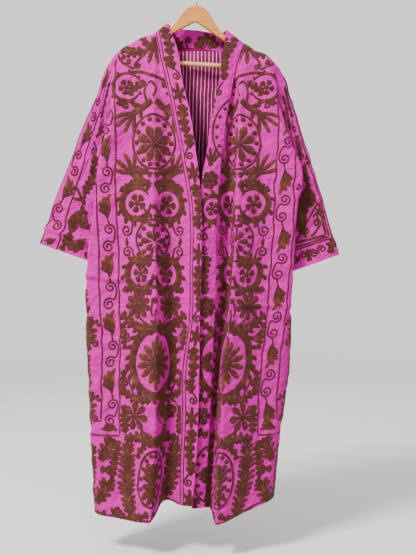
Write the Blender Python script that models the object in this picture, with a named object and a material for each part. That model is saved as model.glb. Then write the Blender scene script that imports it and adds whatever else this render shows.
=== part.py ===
"""Suzani jacket hanging open on a wooden hanger.

The frame's origin is the inside top of the hook, where it sits on a rail.
+X is to the right of someone who faces the jacket, -Y is towards them, +Z is up.
Every table is in millimetres and is turned into metres where it is read.
"""
import math

import bmesh
import bpy
import numpy as np

MM = 0.001

# Cloth
WALL = 2.2          # cotton shell, quilting and lining sewn together
LINING_WALL = 1.0
SEAM_GAP = 0.3
SHOULDER_ROUND = 13.0   # radius of the cloth over the hanger's arm

# Hanger: a board cut from one outline, hung a little askew
WOOD_THICK = 12.0
WOOD_EDGE = 2.0
HANGER_TILT = 3.6
HOOK_INNER_RADIUS = 18.0
HOOK_WIRE = 3.2
WOOD_TOP_DROP = 62.0    # from the rail down to the top of the board
WOOD_TOP_ASIDE = 1.5
BAR_DIAMETER = 10.5
BAR_DROP = 151.0        # from the top of the board down to the trouser bar
LOBE_INNER = 158.0      # inner faces of the two lobes that carry the bar

# Half of the board, from its middle outwards: distance out, drop of its top edge
BOARD_TOP = (
    (0, 0), (10, 1.4), (18, 4.2), (28, 11), (37, 20.5), (44, 31.5), (51, 42), (60, 55),
    (71, 67), (85, 78), (105, 88.5), (126, 98), (143, 104.5), (160, 111), (174, 119), (182, 127),
)
# The same for its lower edge, which ends in the lobe
BOARD_UNDER = (
    (0, 42), (19, 52), (42, 66), (59, 77), (80, 89), (105, 103), (130, 117),
    (LOBE_INNER, 133), (LOBE_INNER, 160), (168, 163), (177, 160), (183, 150), (185, 138),
)

# Fronts. A row is one section across the panel, from the shoulder down to the hem, and
# each fold line has its place across (x) and its depth (y, negative is forward).
FRONT_LINES = ("band seam", "valley", "ridge", "middle", "side fold", "tuck", "side seam")
LEFT_FRONT = (
    # height in, height out, then x and y of each fold line
    (-132, -176, -106, -13, -107, -13, -109, -13, -150, -13, -180, -13, -187, -13, -194, -13),
    (-190, -212, -95, -20, -100, -20, -106, -23, -150, -20, -196, -17, -203, -16, -209, -14),
    (-280, -288, -74, -30, -83, -27, -106, -36, -154, -26, -206, -27, -213, -25, -218, -21),
    (-360, -355, -58, -36, -67, -30, -106, -46, -165, -31, -224, -33, -226, -21, -216, -10),
    (-440, -440, -41, -44, -61, -32, -106, -55, -175, -34, -241, -34, -231, -18, -206, 0),
    (-470, -470, -36, -47, -61, -33, -106, -58, -178, -35, -247, -34, -237, -18, -190, 0),
    (-570, -570, -21, -54, -60, -34, -107, -67, -184, -38, -259, -34, -243, -18, -186, 0),
    (-765, -765, -15, -62, -60, -38, -101, -80, -191, -42, -279, -32, -256, -17, -192, 0),
    (-885, -885, -19, -63, -59, -40, -97, -85, -196, -46, -281, -27, -283, -7, -262, 14),
    (-1000, -1000, -34, -62, -62, -41, -97, -89, -197, -48, -275, -25, -280, -3, -266, 18),
    (-1180, -1180, -37, -62, -67, -42, -101, -91, -197, -50, -268, -25, -272, -3, -260, 19),
    (-1350, -1350, -42, -62, -72, -44, -114, -93, -192, -52, -258, -25, -262, -3, -250, 19),
)
LEFT_SHOULDER = (-132, -133, -134, -149.5, -166.5, -170, -176)
LEFT_HEM = (-1342, -1334, -1379, -1380, -1372, -1370, -1368)
RIGHT_FRONT = (
    (-160, -203, 125, -13, 126.5, -13, 129, -13, 156, -13, 180, -13, 188, -13, 197, -13),
    (-212, -235, 106, -17, 109, -15, 115, -27, 150, -22, 195, -20, 200, -18, 203, -15),
    (-285, -295, 92, -26, 99, -17, 111, -42, 155, -30, 203, -26, 208, -24, 211, -21),
    (-365, -365, 77, -34, 94, -19, 109, -50, 160, -36, 226, -33, 227, -21, 213, -10),
    (-440, -440, 68, -41, 92, -21, 107, -57, 165, -40, 250, -34, 233, -18, 207, 0),
    (-475, -475, 64, -44, 90, -22, 106, -60, 169, -41, 267, -34, 247, -18, 191, 0),
    (-600, -600, 53, -53, 87, -24, 102, -71, 170, -45, 257, -34, 240, -18, 187, 0),
    (-785, -785, 50, -56, 82, -29, 92, -83, 168, -48, 246, -33, 236, -17, 190, 0),
    (-900, -900, 46, -57, 70, -33, 81, -88, 164, -50, 241, -27, 246, -7, 229, 14),
    (-1000, -1000, 41, -57, 58, -36, 71, -91, 158, -52, 236, -25, 241, -3, 228, 18),
    (-1180, -1180, 33, -57, 44, -40, 61, -94, 148, -54, 212, -26, 217, -4, 206, 18),
    (-1350, -1350, 22, -58, 32, -46, 50, -96, 130, -58, 196, -28, 201, -5, 190, 17),
)
RIGHT_SHOULDER = (-160, -161, -162, -179, -189, -195, -203)
RIGHT_HEM = (-1350, -1352, -1383, -1358, -1334, -1328, -1325)
FRONT_CELLS = (2, 3, 3, 3, 2, 2)    # mesh cells between one fold line and the next

# Mesh rows: shares of the way from each row of a table to the next one
TOP_SHARES = (0, 0.035, 0.1, 0.22, 0.5)
UNDERARM_SHARES = (0, 0.35, 0.7, 0.9)    # the rows close up towards the foot of the armhole
MESH_ROWS = (TOP_SHARES, 2, 2, UNDERARM_SHARES, 1, 2, 3, 3, 2, 3, 3)
ARMHOLE_ROW = 4         # the row of each table that lies at the foot of the armhole
ARMHOLE_FOOT_HALF = 2.0     # the armhole ends in a small round, half this wide
ARMHOLE_FOOT_DEEP = 14.0

# Free edge of the band that is sewn to each front: x, y, z, a row for each row above
LEFT_BAND_EDGE = (
    (-75, -14, -107), (-50, -19, -172), (-35, -34, -262), (-15, -47, -348), (-1, -58, -440),
    (4, -61, -475), (12.5, -69, -560), (14.5, -75, -740), (11, -76, -860), (9, -76, -1000),
    (4, -76, -1180), (-7, -76, -1342),
)
RIGHT_BAND_EDGE = (
    (79, -14, -124.6), (69.5, -19, -182), (58, -30, -270), (37.5, -42, -362), (29, -50, -440),
    (18.5, -57, -500), (7.5, -62, -600), (4.5, -65, -740), (2.5, -66, -860), (0, -66, -1000),
    (-4, -66, -1180), (-10, -66, -1350),
)
BAND_CELLS = 3
BAND_CROWN = 2.0        # how far the band bellies out between its seam and its edge

# Back. Each row has its height at the left, middle and right, the left side's three
# lines, the depth of the soft folds' ridges and valleys, and the right side's three lines.
BACK_LINES = ("side seam", "tuck", "side fold", "outer ridge", "valley", "middle ridge",
              "valley", "outer ridge", "side fold", "tuck", "side seam")
BACK_ROWS = (
    (-212, -200, -235, -209, 14, -203, 16, -192, 18, 20, 27, 190, 18, 199, 17, 203, 15),
    (-288, -285, -295, -218, 21, -212, 25, -204, 27, 28, 28, 200, 27, 207, 25, 211, 21),
    (-355, -360, -365, -216, 10, -225, 21, -222, 33, 35, 27, 222, 33, 226, 21, 213, 10),
    (-440, -440, -440, -206, 0, -230, 18, -237, 34, 40, 26, 245, 34, 233, 18, 207, 0),
    (-470, -470, -475, -190, 0, -235, 18, -241, 34, 41, 26, 252, 34, 239, 18, 191, 0),
    (-570, -570, -600, -186, 0, -240, 18, -252, 34, 44, 25, 250, 34, 238, 18, 187, 0),
    (-765, -765, -785, -192, 0, -252, 17, -272, 34, 49, 25, 240, 34, 232, 17, 190, 0),
    (-885, -885, -900, -262, 14, -258, 26, -243, 34, 53, 25, 213, 34, 226, 26, 229, 14),
    (-1000, -1000, -1000, -266, 18, -256, 27, -238, 34, 55, 25, 204, 34, 219, 27, 228, 18),
    (-1180, -1180, -1180, -260, 19, -250, 28, -232, 35, 57, 26, 184, 35, 197, 27, 206, 18),
    (-1350, -1350, -1350, -250, 19, -240, 28, -222, 36, 60, 27, 168, 35, 181, 26, 190, 17),
)
BACK_FOLD_TOP = (-125, -92, 5, 102, 142)     # x of the five soft fold lines at the shoulder
BACK_FOLD_HEM = (-165, -105, -25, 60, 118)   # and at the hem
# The back's top edge: along the left shoulder, round the neck, along the right shoulder
BACK_TOP = (
    (-194, 13, -176), (-187, 13, -170), (-165, 13, -157.5), (-106, 13, -132), (-94, 24, -149),
    (5, 31, -164), (103, 22, -170), (125, 13, -160), (170, 13, -184), (188, 13, -195),
    (197, 13, -203),
)
NECK_FIRST, NECK_LAST = 3, 7    # the lines of BACK_TOP at the two ends of the neckline
BACK_HEM = (-1368, -1366, -1360, -1362, -1346, -1352, -1338, -1340, -1328, -1326, -1325)
BACK_CELLS = (2, 2, 2, 3, 2, 2, 3, 2, 2, 2)

# Top edge of the collar, from the left shoulder round behind the neck to the right one
COLLAR_TOP = ((-75, 0, -107), (-62, 17, -112), (2, 26, -118), (66, 18, -127), (79, 0, -124.6))

# Lining, seen through the open front
LINING_LINES = (4, 6)       # it runs between these lines of the back
LINING_HEAD_ROW = 3         # mesh rows of the back where it starts and ends
LINING_FOOT_ROW = 15
LINING_CLEAR = 0.6

# Sleeves: share of the length, outer edge x z, inner edge x z, half the tube's thickness
LEFT_SLEEVE = (
    (0.00, -195, -177, -206, -441, 14),
    (0.10, -226, -203, -222, -456, 11.5),
    (0.25, -255, -290, -223, -500, 10.5),
    (0.42, -291, -370, -220, -548, 10.5),
    (0.60, -326, -466, -219, -606, 10),
    (0.80, -366, -566, -217, -675, 9.5),
    (0.93, -393, -648, -215, -722, 9.5),
    (1.00, -407, -680, -214, -748, 10),
)
RIGHT_SLEEVE = (
    (0.00, 198, -204, 207, -441, 14),
    (0.10, 222, -228, 222, -460, 11.5),
    (0.25, 246, -300, 223, -506, 10.5),
    (0.42, 272, -384, 220, -556, 10.5),
    (0.60, 300, -475, 219, -614, 10),
    (0.80, 330, -568, 217, -690, 9.5),
    (0.93, 354, -655, 215, -742, 9.5),
    (1.00, 373, -708, 214, -765, 10),
)
SLEEVE_RINGS = 12
SLEEVE_THIN_UNDER = 0.35    # the tube is flatter towards the underarm, by this share
SLEEVE_JOIN = 0.2           # share of the length over which the armhole turns into the tube


def material(name, colour, roughness, metallic=0.0):
    """A plain Principled finish."""
    made = bpy.data.materials.new(name)
    made.use_nodes = True
    shader = made.node_tree.nodes["Principled BSDF"]
    shader.inputs["Base Color"].default_value = (*colour, 1.0)
    shader.inputs["Roughness"].default_value = roughness
    shader.inputs["Metallic"].default_value = metallic
    made.diffuse_color = (*colour, 1.0)
    return made


def place_object(name, data, finish):
    """Link a mesh or curve to the scene under its node's name."""
    made = bpy.data.objects.new(name, data)
    bpy.context.scene.collection.objects.link(made)
    data.materials.append(finish)
    return made


def smooth_curve(knots, values, at):
    """Read a smooth curve that passes through the values at its knots."""
    knots, values, at = (np.asarray(part, float) for part in (knots, values, at))
    step = np.diff(knots)
    slope = np.diff(values, axis=0) / step[:, None]
    tangent = np.vstack([slope[:1], slope[-1:]])
    if len(step) > 1:
        before, after = step[:-1, None], step[1:, None]
        inner = (slope[:-1] * after + slope[1:] * before) / (before + after)
        tangent = np.vstack([slope[:1], inner, slope[-1:]])
    cell = np.clip(np.searchsorted(knots, at, side="right") - 1, 0, len(step) - 1)
    width = step[cell][:, None]
    t = (at - knots[cell])[:, None] / width
    return (
        (2 * t**3 - 3 * t**2 + 1) * values[cell]
        + (t**3 - 2 * t**2 + t) * width * tangent[cell]
        + (3 * t**2 - 2 * t**3) * values[cell + 1]
        + (t**3 - t**2) * width * tangent[cell + 1]
    )


def run_lengths(points):
    """Distance along a row of points, from its first point."""
    steps = np.linalg.norm(np.diff(points, axis=0), axis=1)
    return np.concatenate([[0.0], np.cumsum(steps)])


def across(stations, cells):
    """One section: a smooth curve through its fold lines, split into cells."""
    places = run_lengths(stations)
    at = [
        places[i] + (places[i + 1] - places[i]) * k / count
        for i, count in enumerate(cells)
        for k in range(count)
    ]
    return smooth_curve(places, stations, at + [places[-1]])


def round_over(depth):
    """0 at the shoulder seam, 1 where the cloth hangs straight below the hanger's arm."""
    share = np.clip(depth / SHOULDER_ROUND, 0.0, 1.0)
    return np.sqrt(1.0 - (1.0 - share) ** 2)


def sections(lines, row_shares):
    """Read a table of fold lines, shaped (row, line, xyz), at every mesh row."""
    heights = -lines[:, :, 2].mean(axis=1)
    at = []
    for i, shares in enumerate(row_shares):
        if isinstance(shares, int):
            shares = np.arange(shares) / shares
        at += [heights[i] + (heights[i + 1] - heights[i]) * share for share in shares]
    flat = smooth_curve(heights, lines.reshape(len(lines), -1), at + [heights[-1]])
    return flat.reshape(len(at) + 1, -1, 3)


def course(points):
    """The direction of each row at each of its points, near and far neighbours alike."""
    steps = np.diff(points, axis=1)
    steps /= np.linalg.norm(steps, axis=2)[:, :, None]
    return np.concatenate([steps[:, :1], steps[:, :-1] + steps[:, 1:], steps[:, -1:]], axis=1)


class Panel:
    """One piece of cloth: a grid of points on its outer face and the directions they face."""

    def __init__(self, points, outward):
        self.points = points
        facing = np.cross(course(points), course(points.swapaxes(0, 1)).swapaxes(0, 1)) * outward
        self.facing = facing / np.linalg.norm(facing, axis=2)[:, :, None]
        self.outward = outward

    def inner(self, wall):
        """The points of the inner face."""
        return self.points - self.facing * wall


def sew(first, first_edge, first_next, second, second_edge, second_next):
    """Bring two edges onto one seam: both rims lie along its mitre, half a gap either side."""
    seam = (first.points[first_edge] + second.points[second_edge]) / 2
    facing = first.facing[first_edge] + second.facing[second_edge]
    facing[1:-1] = facing[:-2] + 2 * facing[1:-1] + facing[2:]    # the rims twist gently
    facing /= np.linalg.norm(facing, axis=1)[:, None]
    run = np.gradient(seam, axis=0)
    aside = np.cross(run, facing)
    aside /= np.linalg.norm(aside, axis=1)[:, None]
    for panel, edge, following in ((first, first_edge, first_next), (second, second_edge, second_next)):
        inwards = panel.points[following] - seam
        side = np.sign((inwards * aside).sum(axis=1).mean())
        panel.points[edge] = seam + aside * side * SEAM_GAP / 2
        panel.facing[edge] = facing


def meet(*corners):
    """Give the corners of several panels one direction to face, and part them a little.
    Every such corner lies on the hanger's middle plane, with a front and a back side."""
    facing = sum(panel.facing[row, column] for panel, row, column in corners)
    facing = facing * (1, 0, 1) / np.linalg.norm(facing * (1, 0, 1))
    middle = sum(panel.points[row, column] for panel, row, column in corners) / len(corners)
    for panel, row, column in corners:
        rows, columns = panel.points.shape[:2]
        inner_row = min(max(row % rows, 1), rows - 2)
        inner_column = min(max(column % columns, 1), columns - 2)
        away = panel.points[inner_row, inner_column] - middle
        away -= facing * away.dot(facing)
        panel.points[row, column] = middle + away / np.linalg.norm(away) * SEAM_GAP
        panel.facing[row, column] = facing


def front_panel(rows, shoulder, hem, row_shares, outward):
    """A front, from its band seam to its side seam, row by row from the shoulder down."""
    table = np.array(rows, float)
    count = len(FRONT_LINES)
    lines = np.empty((len(table), count, 3))
    lines[:, :, 0] = table[:, 2::2]
    lines[:, :, 1] = table[:, 3::2]
    lines[:, :, 2] = table[:, :1] + (table[:, 1:2] - table[:, :1]) * np.linspace(0.0, 1.0, count)
    lines[0, :, 2] = shoulder
    lines[-1, :, 2] = hem
    points = np.array([across(row, FRONT_CELLS) for row in sections(lines, row_shares)])
    points[:, :, 1] *= round_over(points[:1, :, 2] - points[:, :, 2])
    return Panel(points, outward)


def back_panel(left_front, right_front):
    """The back, from the left side seam to the right one. Its shoulders follow those of the
    fronts and are rounded over the hanger's arms, while its neckline keeps its own depth
    behind the hanger."""
    table = np.array(BACK_ROWS, float)
    lines = np.empty((len(table) + 1, len(BACK_LINES), 3))
    lines[0] = BACK_TOP
    fall = (table[:, 1] - table[0, 1]) / (table[-1, 1] - table[0, 1])
    for row, (values, down) in enumerate(zip(table, fall), start=1):
        left, right = values[3:9].reshape(3, 2), values[11:17].reshape(3, 2)
        fold_x = np.array(BACK_FOLD_TOP) * (1 - down) + np.array(BACK_FOLD_HEM) * down
        ridge, valley = values[9:11]
        lines[row, :, 0] = (*left[:, 0], *fold_x, *right[:, 0])
        lines[row, :, 1] = (*left[:, 1], ridge, valley, ridge, valley, ridge, *right[:, 1])
        lines[row, :, 2] = np.interp(range(len(BACK_LINES)), (0, 5, 10), values[:3])
    lines[-1, :, 2] = BACK_HEM
    points = np.array([across(row, BACK_CELLS) for row in sections(lines, MESH_ROWS)])
    first, last = neck_columns()
    fade = np.linspace(1.0, 0.0, len(TOP_SHARES) + 1)[:, None]
    for front, columns in ((left_front, slice(0, first + 1)), (right_front, slice(last, None))):
        line = front.points[0, np.argsort(front.points[0, :, 0])]
        lift = np.interp(points[0, columns, 0], line[:, 0], line[:, 2]) - points[0, columns, 2]
        points[:len(fade), columns, 2] += fade * lift
    column = np.arange(points.shape[1])
    off_shoulder = np.clip(np.minimum(column - first, last - column) / BACK_CELLS[NECK_FIRST], 0, 1)
    rounding = round_over(points[:1, :, 2] - points[:, :, 2])
    points[:, :, 1] *= rounding + (1.0 - rounding) * off_shoulder
    return Panel(points, 1)


def neck_columns():
    """Columns of the back's mesh where its neckline starts and ends."""
    return sum(BACK_CELLS[:NECK_FIRST]), sum(BACK_CELLS[:NECK_LAST])


def close_shoulders(back, fronts):
    """Stand the shoulder seam's rims upright, half a gap each side of the hanger's middle."""
    first, last = neck_columns()
    for columns in (slice(0, first + 1), slice(last, None)):
        back.points[0, columns, 1] = SEAM_GAP / 2
        back.facing[0, columns, 1] = 0.0
    for front in fronts:
        front.points[0, :, 1] = -SEAM_GAP / 2
        front.facing[0, :, 1] = 0.0
    for panel in (back, *fronts):
        panel.facing /= np.linalg.norm(panel.facing, axis=2)[:, :, None]


def band_panel(front, edge, outward):
    """A front's band, from its seam to its free edge, a little rounded across."""
    edge = np.array(edge, float)
    heights = (edge[0, 2] - edge[:, 2]) / (edge[0, 2] - edge[-1, 2])
    seam = front.points[:, 0].copy()
    depths = (seam[0, 2] - seam[:, 2]) / (seam[0, 2] - seam[-1, 2])
    free = smooth_curve(heights, edge, depths)
    free[:, 1] *= round_over(free[0, 2] - free[:, 2])
    share = np.linspace(0.0, 1.0, BAND_CELLS + 1)[None, :, None]
    points = seam[:, None] + (free - seam)[:, None] * share
    points[1:, :, 1] -= BAND_CROWN * np.sin(math.pi * share[:, :, 0])
    return Panel(points, outward)


def collar_panel(back):
    """The collar behind the neck, from the neckline up to its top edge."""
    first, last = neck_columns()
    foot = back.points[0, first:last + 1]
    top = np.array(COLLAR_TOP, float)
    foot_places, top_places = run_lengths(foot), run_lengths(top)
    head = smooth_curve(top_places, top, foot_places / foot_places[-1] * top_places[-1])
    rise = np.linspace(1.0, 0.0, BAND_CELLS + 1)[:, None, None]
    return Panel(foot[None] + (head - foot)[None] * rise, 1)


def lining_panel(back):
    """The lining lies just inside the back, from below the neckline to below the open front."""
    first, last = (sum(BACK_CELLS[:line]) for line in LINING_LINES)
    rows = slice(LINING_HEAD_ROW, LINING_FOOT_ROW + 1)
    outer = back.inner(WALL + LINING_CLEAR)
    return Panel(outer[rows, first:last + 1], 1)


def round_armhole_foot(panel, column):
    """Open the foot of an armhole into a small round, so that the sleeve can turn there."""
    edge = panel.points[:armhole_foot() + 1, column]
    above = np.clip((edge[:, 2] - edge[-1, 2]) / ARMHOLE_FOOT_DEEP, 0.0, 1.0)
    half = ARMHOLE_FOOT_HALF * np.sqrt(1.0 - (1.0 - above) ** 2)
    low = edge[:, 2] < edge[-1, 2] / 2 + edge[0, 2] / 2
    side = np.sign(edge[len(edge) // 2, 1])
    edge[low, 1] = side * np.maximum(np.abs(edge[low, 1]), half[low])


def armhole_foot():
    """The mesh row at the foot of the armholes."""
    return sum(shares if isinstance(shares, int) else len(shares) for shares in MESH_ROWS[:ARMHOLE_ROW])


def sleeve_panel(table, front, back_edge, outward):
    """A sleeve from its armhole to its cuff, ring by ring. Each ring starts at the shoulder,
    runs down the front half to the underarm and comes up the back half."""
    table = np.array(table, float)
    foot = armhole_foot()
    front_edge = front.points[:foot + 1, -1]
    back_edge = back_edge[:foot + 1]
    armhole = np.vstack([front_edge, back_edge[-2::-1]])
    down = (front_edge[0, 2] - front_edge[:, 2]) / (front_edge[0, 2] - front_edge[-1, 2])
    down = np.concatenate([down, down[-2::-1]])[:, None]
    side = np.concatenate([-np.ones(foot), [0.0], np.ones(foot)])
    rings = []
    for share in np.linspace(0.0, 1.0, SLEEVE_RINGS) ** 0.9:
        outer_x, outer_z, inner_x, inner_z, thick = smooth_curve(table[:, 0], table[:, 1:], [share])[0]
        top, under = np.array([outer_x, 0.0, outer_z]), np.array([inner_x, 0.0, inner_z])
        ring = top + (under - top) * down
        bulge = (4 * down * (1 - down))[:, 0] ** 0.3 * (1 - SLEEVE_THIN_UNDER * down[:, 0])
        ring[:, 1] = side * thick * bulge
        join = np.clip(share / SLEEVE_JOIN, 0.0, 1.0)
        join = join * join * (3 - 2 * join)
        rings.append(armhole * (1 - join) + ring * join)
    sleeve = Panel(np.array(rings), outward)
    seam = sleeve.facing[:, 0] + sleeve.facing[:, -1]
    seam /= np.linalg.norm(seam, axis=1)[:, None]
    sleeve.facing[:, 0] = sleeve.facing[:, -1] = seam
    return sleeve


def set_in(sleeve, front, back, back_column):
    """Sew a sleeve into its armhole: along the front, then along the back."""
    foot = armhole_foot()
    rows, back_next = slice(1, foot), 1 if back_column == 0 else -2
    sew(sleeve, (0, rows), (1, rows), front, (rows, -1), (rows, -2))
    upwards = slice(2 * foot - 1, foot, -1)
    sew(sleeve, (0, upwards), (1, upwards), back, (rows, back_column), (rows, back_next))
    meet((sleeve, 0, foot), (front, foot, -1), (back, foot, back_column))
    meet((sleeve, 0, 0), (front, 0, -1), (back, 0, back_column))
    sleeve.points[:, -1] = sleeve.points[:, 0]
    sleeve.facing[:, -1] = sleeve.facing[:, 0]


def cloth(name, panel, finish, wall=WALL):
    """Lay a grid on the panel's points (mm), then thicken it inwards to a closed wall."""
    outer, inner = panel.points, panel.inner(wall)
    rows, columns = outer.shape[:2]
    sheet = bmesh.new()
    bmesh.ops.create_grid(sheet, x_segments=columns - 1, y_segments=rows - 1, size=1.0)
    row_of, column_of = sheet.verts.layers.int.new("row"), sheet.verts.layers.int.new("column")
    for vert in sheet.verts:
        vert[column_of] = round((vert.co.x + 1) / 2 * (columns - 1))
        vert[row_of] = round((vert.co.y + 1) / 2 * (rows - 1))
        vert.co = outer[vert[row_of], vert[column_of]] * MM
    if np.allclose(outer[:, 0], outer[:, -1]):
        bmesh.ops.remove_doubles(sheet, verts=sheet.verts, dist=0.00001)
    pushed = bmesh.ops.extrude_face_region(sheet, geom=list(sheet.faces))
    for vert in pushed["geom"]:
        if isinstance(vert, bmesh.types.BMVert):
            vert.co = inner[vert[row_of], vert[column_of]] * MM
    bmesh.ops.recalc_face_normals(sheet, faces=sheet.faces)
    mesh = bpy.data.meshes.new(name)
    sheet.to_mesh(mesh)
    sheet.free()
    mesh.shade_smooth()
    mesh.set_sharp_from_angle(angle=math.radians(50))
    return place_object(name, mesh, finish)


def hang(x, z):
    """A point of the hanger (mm from the top of its board), swung by the hanger's tilt."""
    turn = math.radians(HANGER_TILT)
    return (
        WOOD_TOP_ASIDE + x * math.cos(turn) + z * math.sin(turn),
        -WOOD_TOP_DROP - x * math.sin(turn) + z * math.cos(turn),
    )


def hanger_board(finish):
    """The board: its outline filled, given its thickness, with the edges rounded."""
    right = [(x, -drop) for x, drop in BOARD_TOP] + [(x, -drop) for x, drop in BOARD_UNDER[::-1]]
    left = [(-x, z) for x, z in right[1:-1]][::-1]
    board = bmesh.new()
    ring = []
    for x, z in right + left:
        world_x, world_z = hang(x, z)
        ring.append(board.verts.new((world_x * MM, -WOOD_THICK / 2 * MM, world_z * MM)))
    face = board.faces.new(ring)
    pushed = bmesh.ops.extrude_face_region(board, geom=[face])
    moved = [item for item in pushed["geom"] if isinstance(item, bmesh.types.BMVert)]
    bmesh.ops.translate(board, verts=moved, vec=(0, WOOD_THICK * MM, 0))
    bmesh.ops.recalc_face_normals(board, faces=board.faces)
    mesh = bpy.data.meshes.new("hanger_wood")
    board.to_mesh(mesh)
    board.free()
    made = place_object("hanger_wood", mesh, finish)
    edge = made.modifiers.new("rounded edge", "BEVEL")
    edge.width = WOOD_EDGE * MM
    edge.segments = 2
    edge.limit_method = "ANGLE"
    edge.angle_limit = math.radians(60)
    return made


def hook(finish):
    """The wire hook: a stem out of the board, then most of a circle round the rail."""
    radius = HOOK_INNER_RADIUS + HOOK_WIRE / 2
    middle = -HOOK_INNER_RADIUS
    turns = np.radians(np.linspace(-52, 205, 30))
    arc = [(radius * math.cos(a), middle + radius * math.sin(a)) for a in turns]
    stem_foot = hang(0, SEAM_GAP)
    stem_head = hang(0, WOOD_TOP_DROP * 0.16)
    route = smooth_curve(
        (0, 1, 2.2, 3.6), (stem_foot, stem_head, (stem_head[0] + 4, stem_head[1] + 7), arc[0]),
        np.linspace(0, 3.6, 12))
    points = [tuple(p) for p in route[:-1]] + arc
    curve = bpy.data.curves.new("hanger_hook", "CURVE")
    curve.dimensions = "3D"
    curve.bevel_depth = HOOK_WIRE / 2 * MM
    curve.bevel_resolution = 2
    curve.use_fill_caps = True
    line = curve.splines.new("POLY")
    line.points.add(len(points) - 1)
    for point, (x, z) in zip(line.points, points):
        point.co = (x * MM, 0.0, z * MM, 1.0)
    return place_object("hanger_hook", curve, finish)


def trouser_bar(finish):
    """The round bar, held between the lobes of the board."""
    bar = bmesh.new()
    bmesh.ops.create_cone(
        bar, cap_ends=True, segments=16, radius1=BAR_DIAMETER / 2 * MM,
        radius2=BAR_DIAMETER / 2 * MM, depth=2 * (LOBE_INNER - SEAM_GAP) * MM)
    mesh = bpy.data.meshes.new("trouser_bar")
    bar.to_mesh(mesh)
    bar.free()
    mesh.shade_smooth()
    made = place_object("trouser_bar", mesh, finish)
    x, z = hang(0, -BAR_DROP)
    made.location = (x * MM, 0.0, z * MM)
    made.rotation_euler = (0.0, math.radians(90 + HANGER_TILT), 0.0)
    return made


def build():
    """Make the hanger, then each piece of cloth in the order it is sewn."""
    for old in list(bpy.data.objects):
        bpy.data.objects.remove(old, do_unlink=True)

    pink = material("orchid cotton", (0.72, 0.10, 0.60), 0.85)
    stripe = material("striped lining", (0.45, 0.02, 0.22), 0.8)
    wood = material("varnished wood", (0.66, 0.38, 0.17), 0.45)
    steel = material("zinc wire", (0.55, 0.55, 0.56), 0.3, metallic=1.0)

    hanger_board(wood)
    hook(steel)
    trouser_bar(wood)

    left = front_panel(LEFT_FRONT, LEFT_SHOULDER, LEFT_HEM, MESH_ROWS, 1)
    right = front_panel(RIGHT_FRONT, RIGHT_SHOULDER, RIGHT_HEM, MESH_ROWS, -1)
    back = back_panel(left, right)
    back.points[:, 0], back.points[:, -1] = left.points[:, -1], right.points[:, -1]
    back.points[:armhole_foot(), (0, -1), 1] *= -1
    for panel, column in ((left, -1), (right, -1), (back, 0), (back, -1)):
        round_armhole_foot(panel, column)
    band_left = band_panel(left, LEFT_BAND_EDGE, -1)
    band_right = band_panel(right, RIGHT_BAND_EDGE, 1)
    collar = collar_panel(back)
    lining = lining_panel(back)
    sleeve_left = sleeve_panel(LEFT_SLEEVE, left, back.points[:, 0], -1)
    sleeve_right = sleeve_panel(RIGHT_SLEEVE, right, back.points[:, -1], 1)

    every, foot = slice(None), armhole_foot()
    first, last = neck_columns()
    below, neck = slice(foot + 1, None), slice(first + 1, last)
    close_shoulders(back, (left, right))
    set_in(sleeve_left, left, back, 0)
    set_in(sleeve_right, right, back, -1)
    sew(left, (below, -1), (below, -2), back, (below, 0), (below, 1))
    sew(right, (below, -1), (below, -2), back, (below, -1), (below, -2))
    sew(band_left, (every, 0), (every, 1), left, (every, 0), (every, 1))
    sew(band_right, (every, 0), (every, 1), right, (every, 0), (every, 1))
    inside = slice(1, -1)
    sew(collar, (-1, inside), (-2, inside), back, (0, neck), (1, neck))
    sew(collar, (slice(None, None, -1), 0), (slice(None, None, -1), 1),
        band_left, (0, every), (1, every))
    sew(collar, (slice(None, None, -1), -1), (slice(None, None, -1), -2),
        band_right, (0, every), (1, every))
    meet((collar, -1, 0), (back, 0, first), (left, 0, 0), (band_left, 0, 0))
    meet((collar, -1, -1), (back, 0, last), (right, 0, 0), (band_right, 0, 0))

    cloth("back", back, pink)
    cloth("front_left", left, pink)
    cloth("front_right", right, pink)
    cloth("band_left", band_left, pink)
    cloth("band_right", band_right, pink)
    cloth("collar_back", collar, pink)
    cloth("sleeve_left", sleeve_left, pink)
    cloth("sleeve_right", sleeve_right, pink)
    cloth("lining_back", lining, stripe, wall=LINING_WALL)


build()
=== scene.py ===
import math

import bmesh
import bpy
import numpy as np
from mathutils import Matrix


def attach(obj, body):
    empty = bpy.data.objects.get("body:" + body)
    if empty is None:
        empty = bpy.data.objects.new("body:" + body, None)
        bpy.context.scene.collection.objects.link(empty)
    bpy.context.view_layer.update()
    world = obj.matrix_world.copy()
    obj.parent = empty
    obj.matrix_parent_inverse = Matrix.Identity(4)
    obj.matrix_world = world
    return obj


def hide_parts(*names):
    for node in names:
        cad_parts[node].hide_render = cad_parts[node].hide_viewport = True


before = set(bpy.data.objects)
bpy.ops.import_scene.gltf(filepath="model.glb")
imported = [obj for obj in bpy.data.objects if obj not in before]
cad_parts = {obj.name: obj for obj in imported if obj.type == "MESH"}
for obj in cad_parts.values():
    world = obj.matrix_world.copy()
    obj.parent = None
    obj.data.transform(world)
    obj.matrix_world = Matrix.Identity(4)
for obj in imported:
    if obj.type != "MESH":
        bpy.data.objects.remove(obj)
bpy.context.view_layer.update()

# The room: a pale floor below the hem and even, pale light, with a window's light from the
# upper left. The camera is level with the coat's waist, as in the photograph.
CAMERA_PLACE = (0.031, -2.1, -0.768)
CAMERA_LENS = 52.4
FLOOR_DROP = -1.47
FLOOR_HALF = 40.0
HAZE_NEAR, HAZE_FAR = 1.6, 7.0      # where the floor starts and ends to fade into the room
PALE = (0.93, 0.925, 0.91, 1)
ROOM_LIGHT = 1.3
LIT_PLACE = np.array((0.0, 0.0, -0.75))
LAMPS = (
    ("window", (-2.2, -2.6, 2.9), 1.1, 580),
    ("room fill", (2.2, -3.2, 0.3), 2.5, 10),
    ("back fill", (0.4, 2.8, 1.0), 2.5, 45),
)


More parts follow.
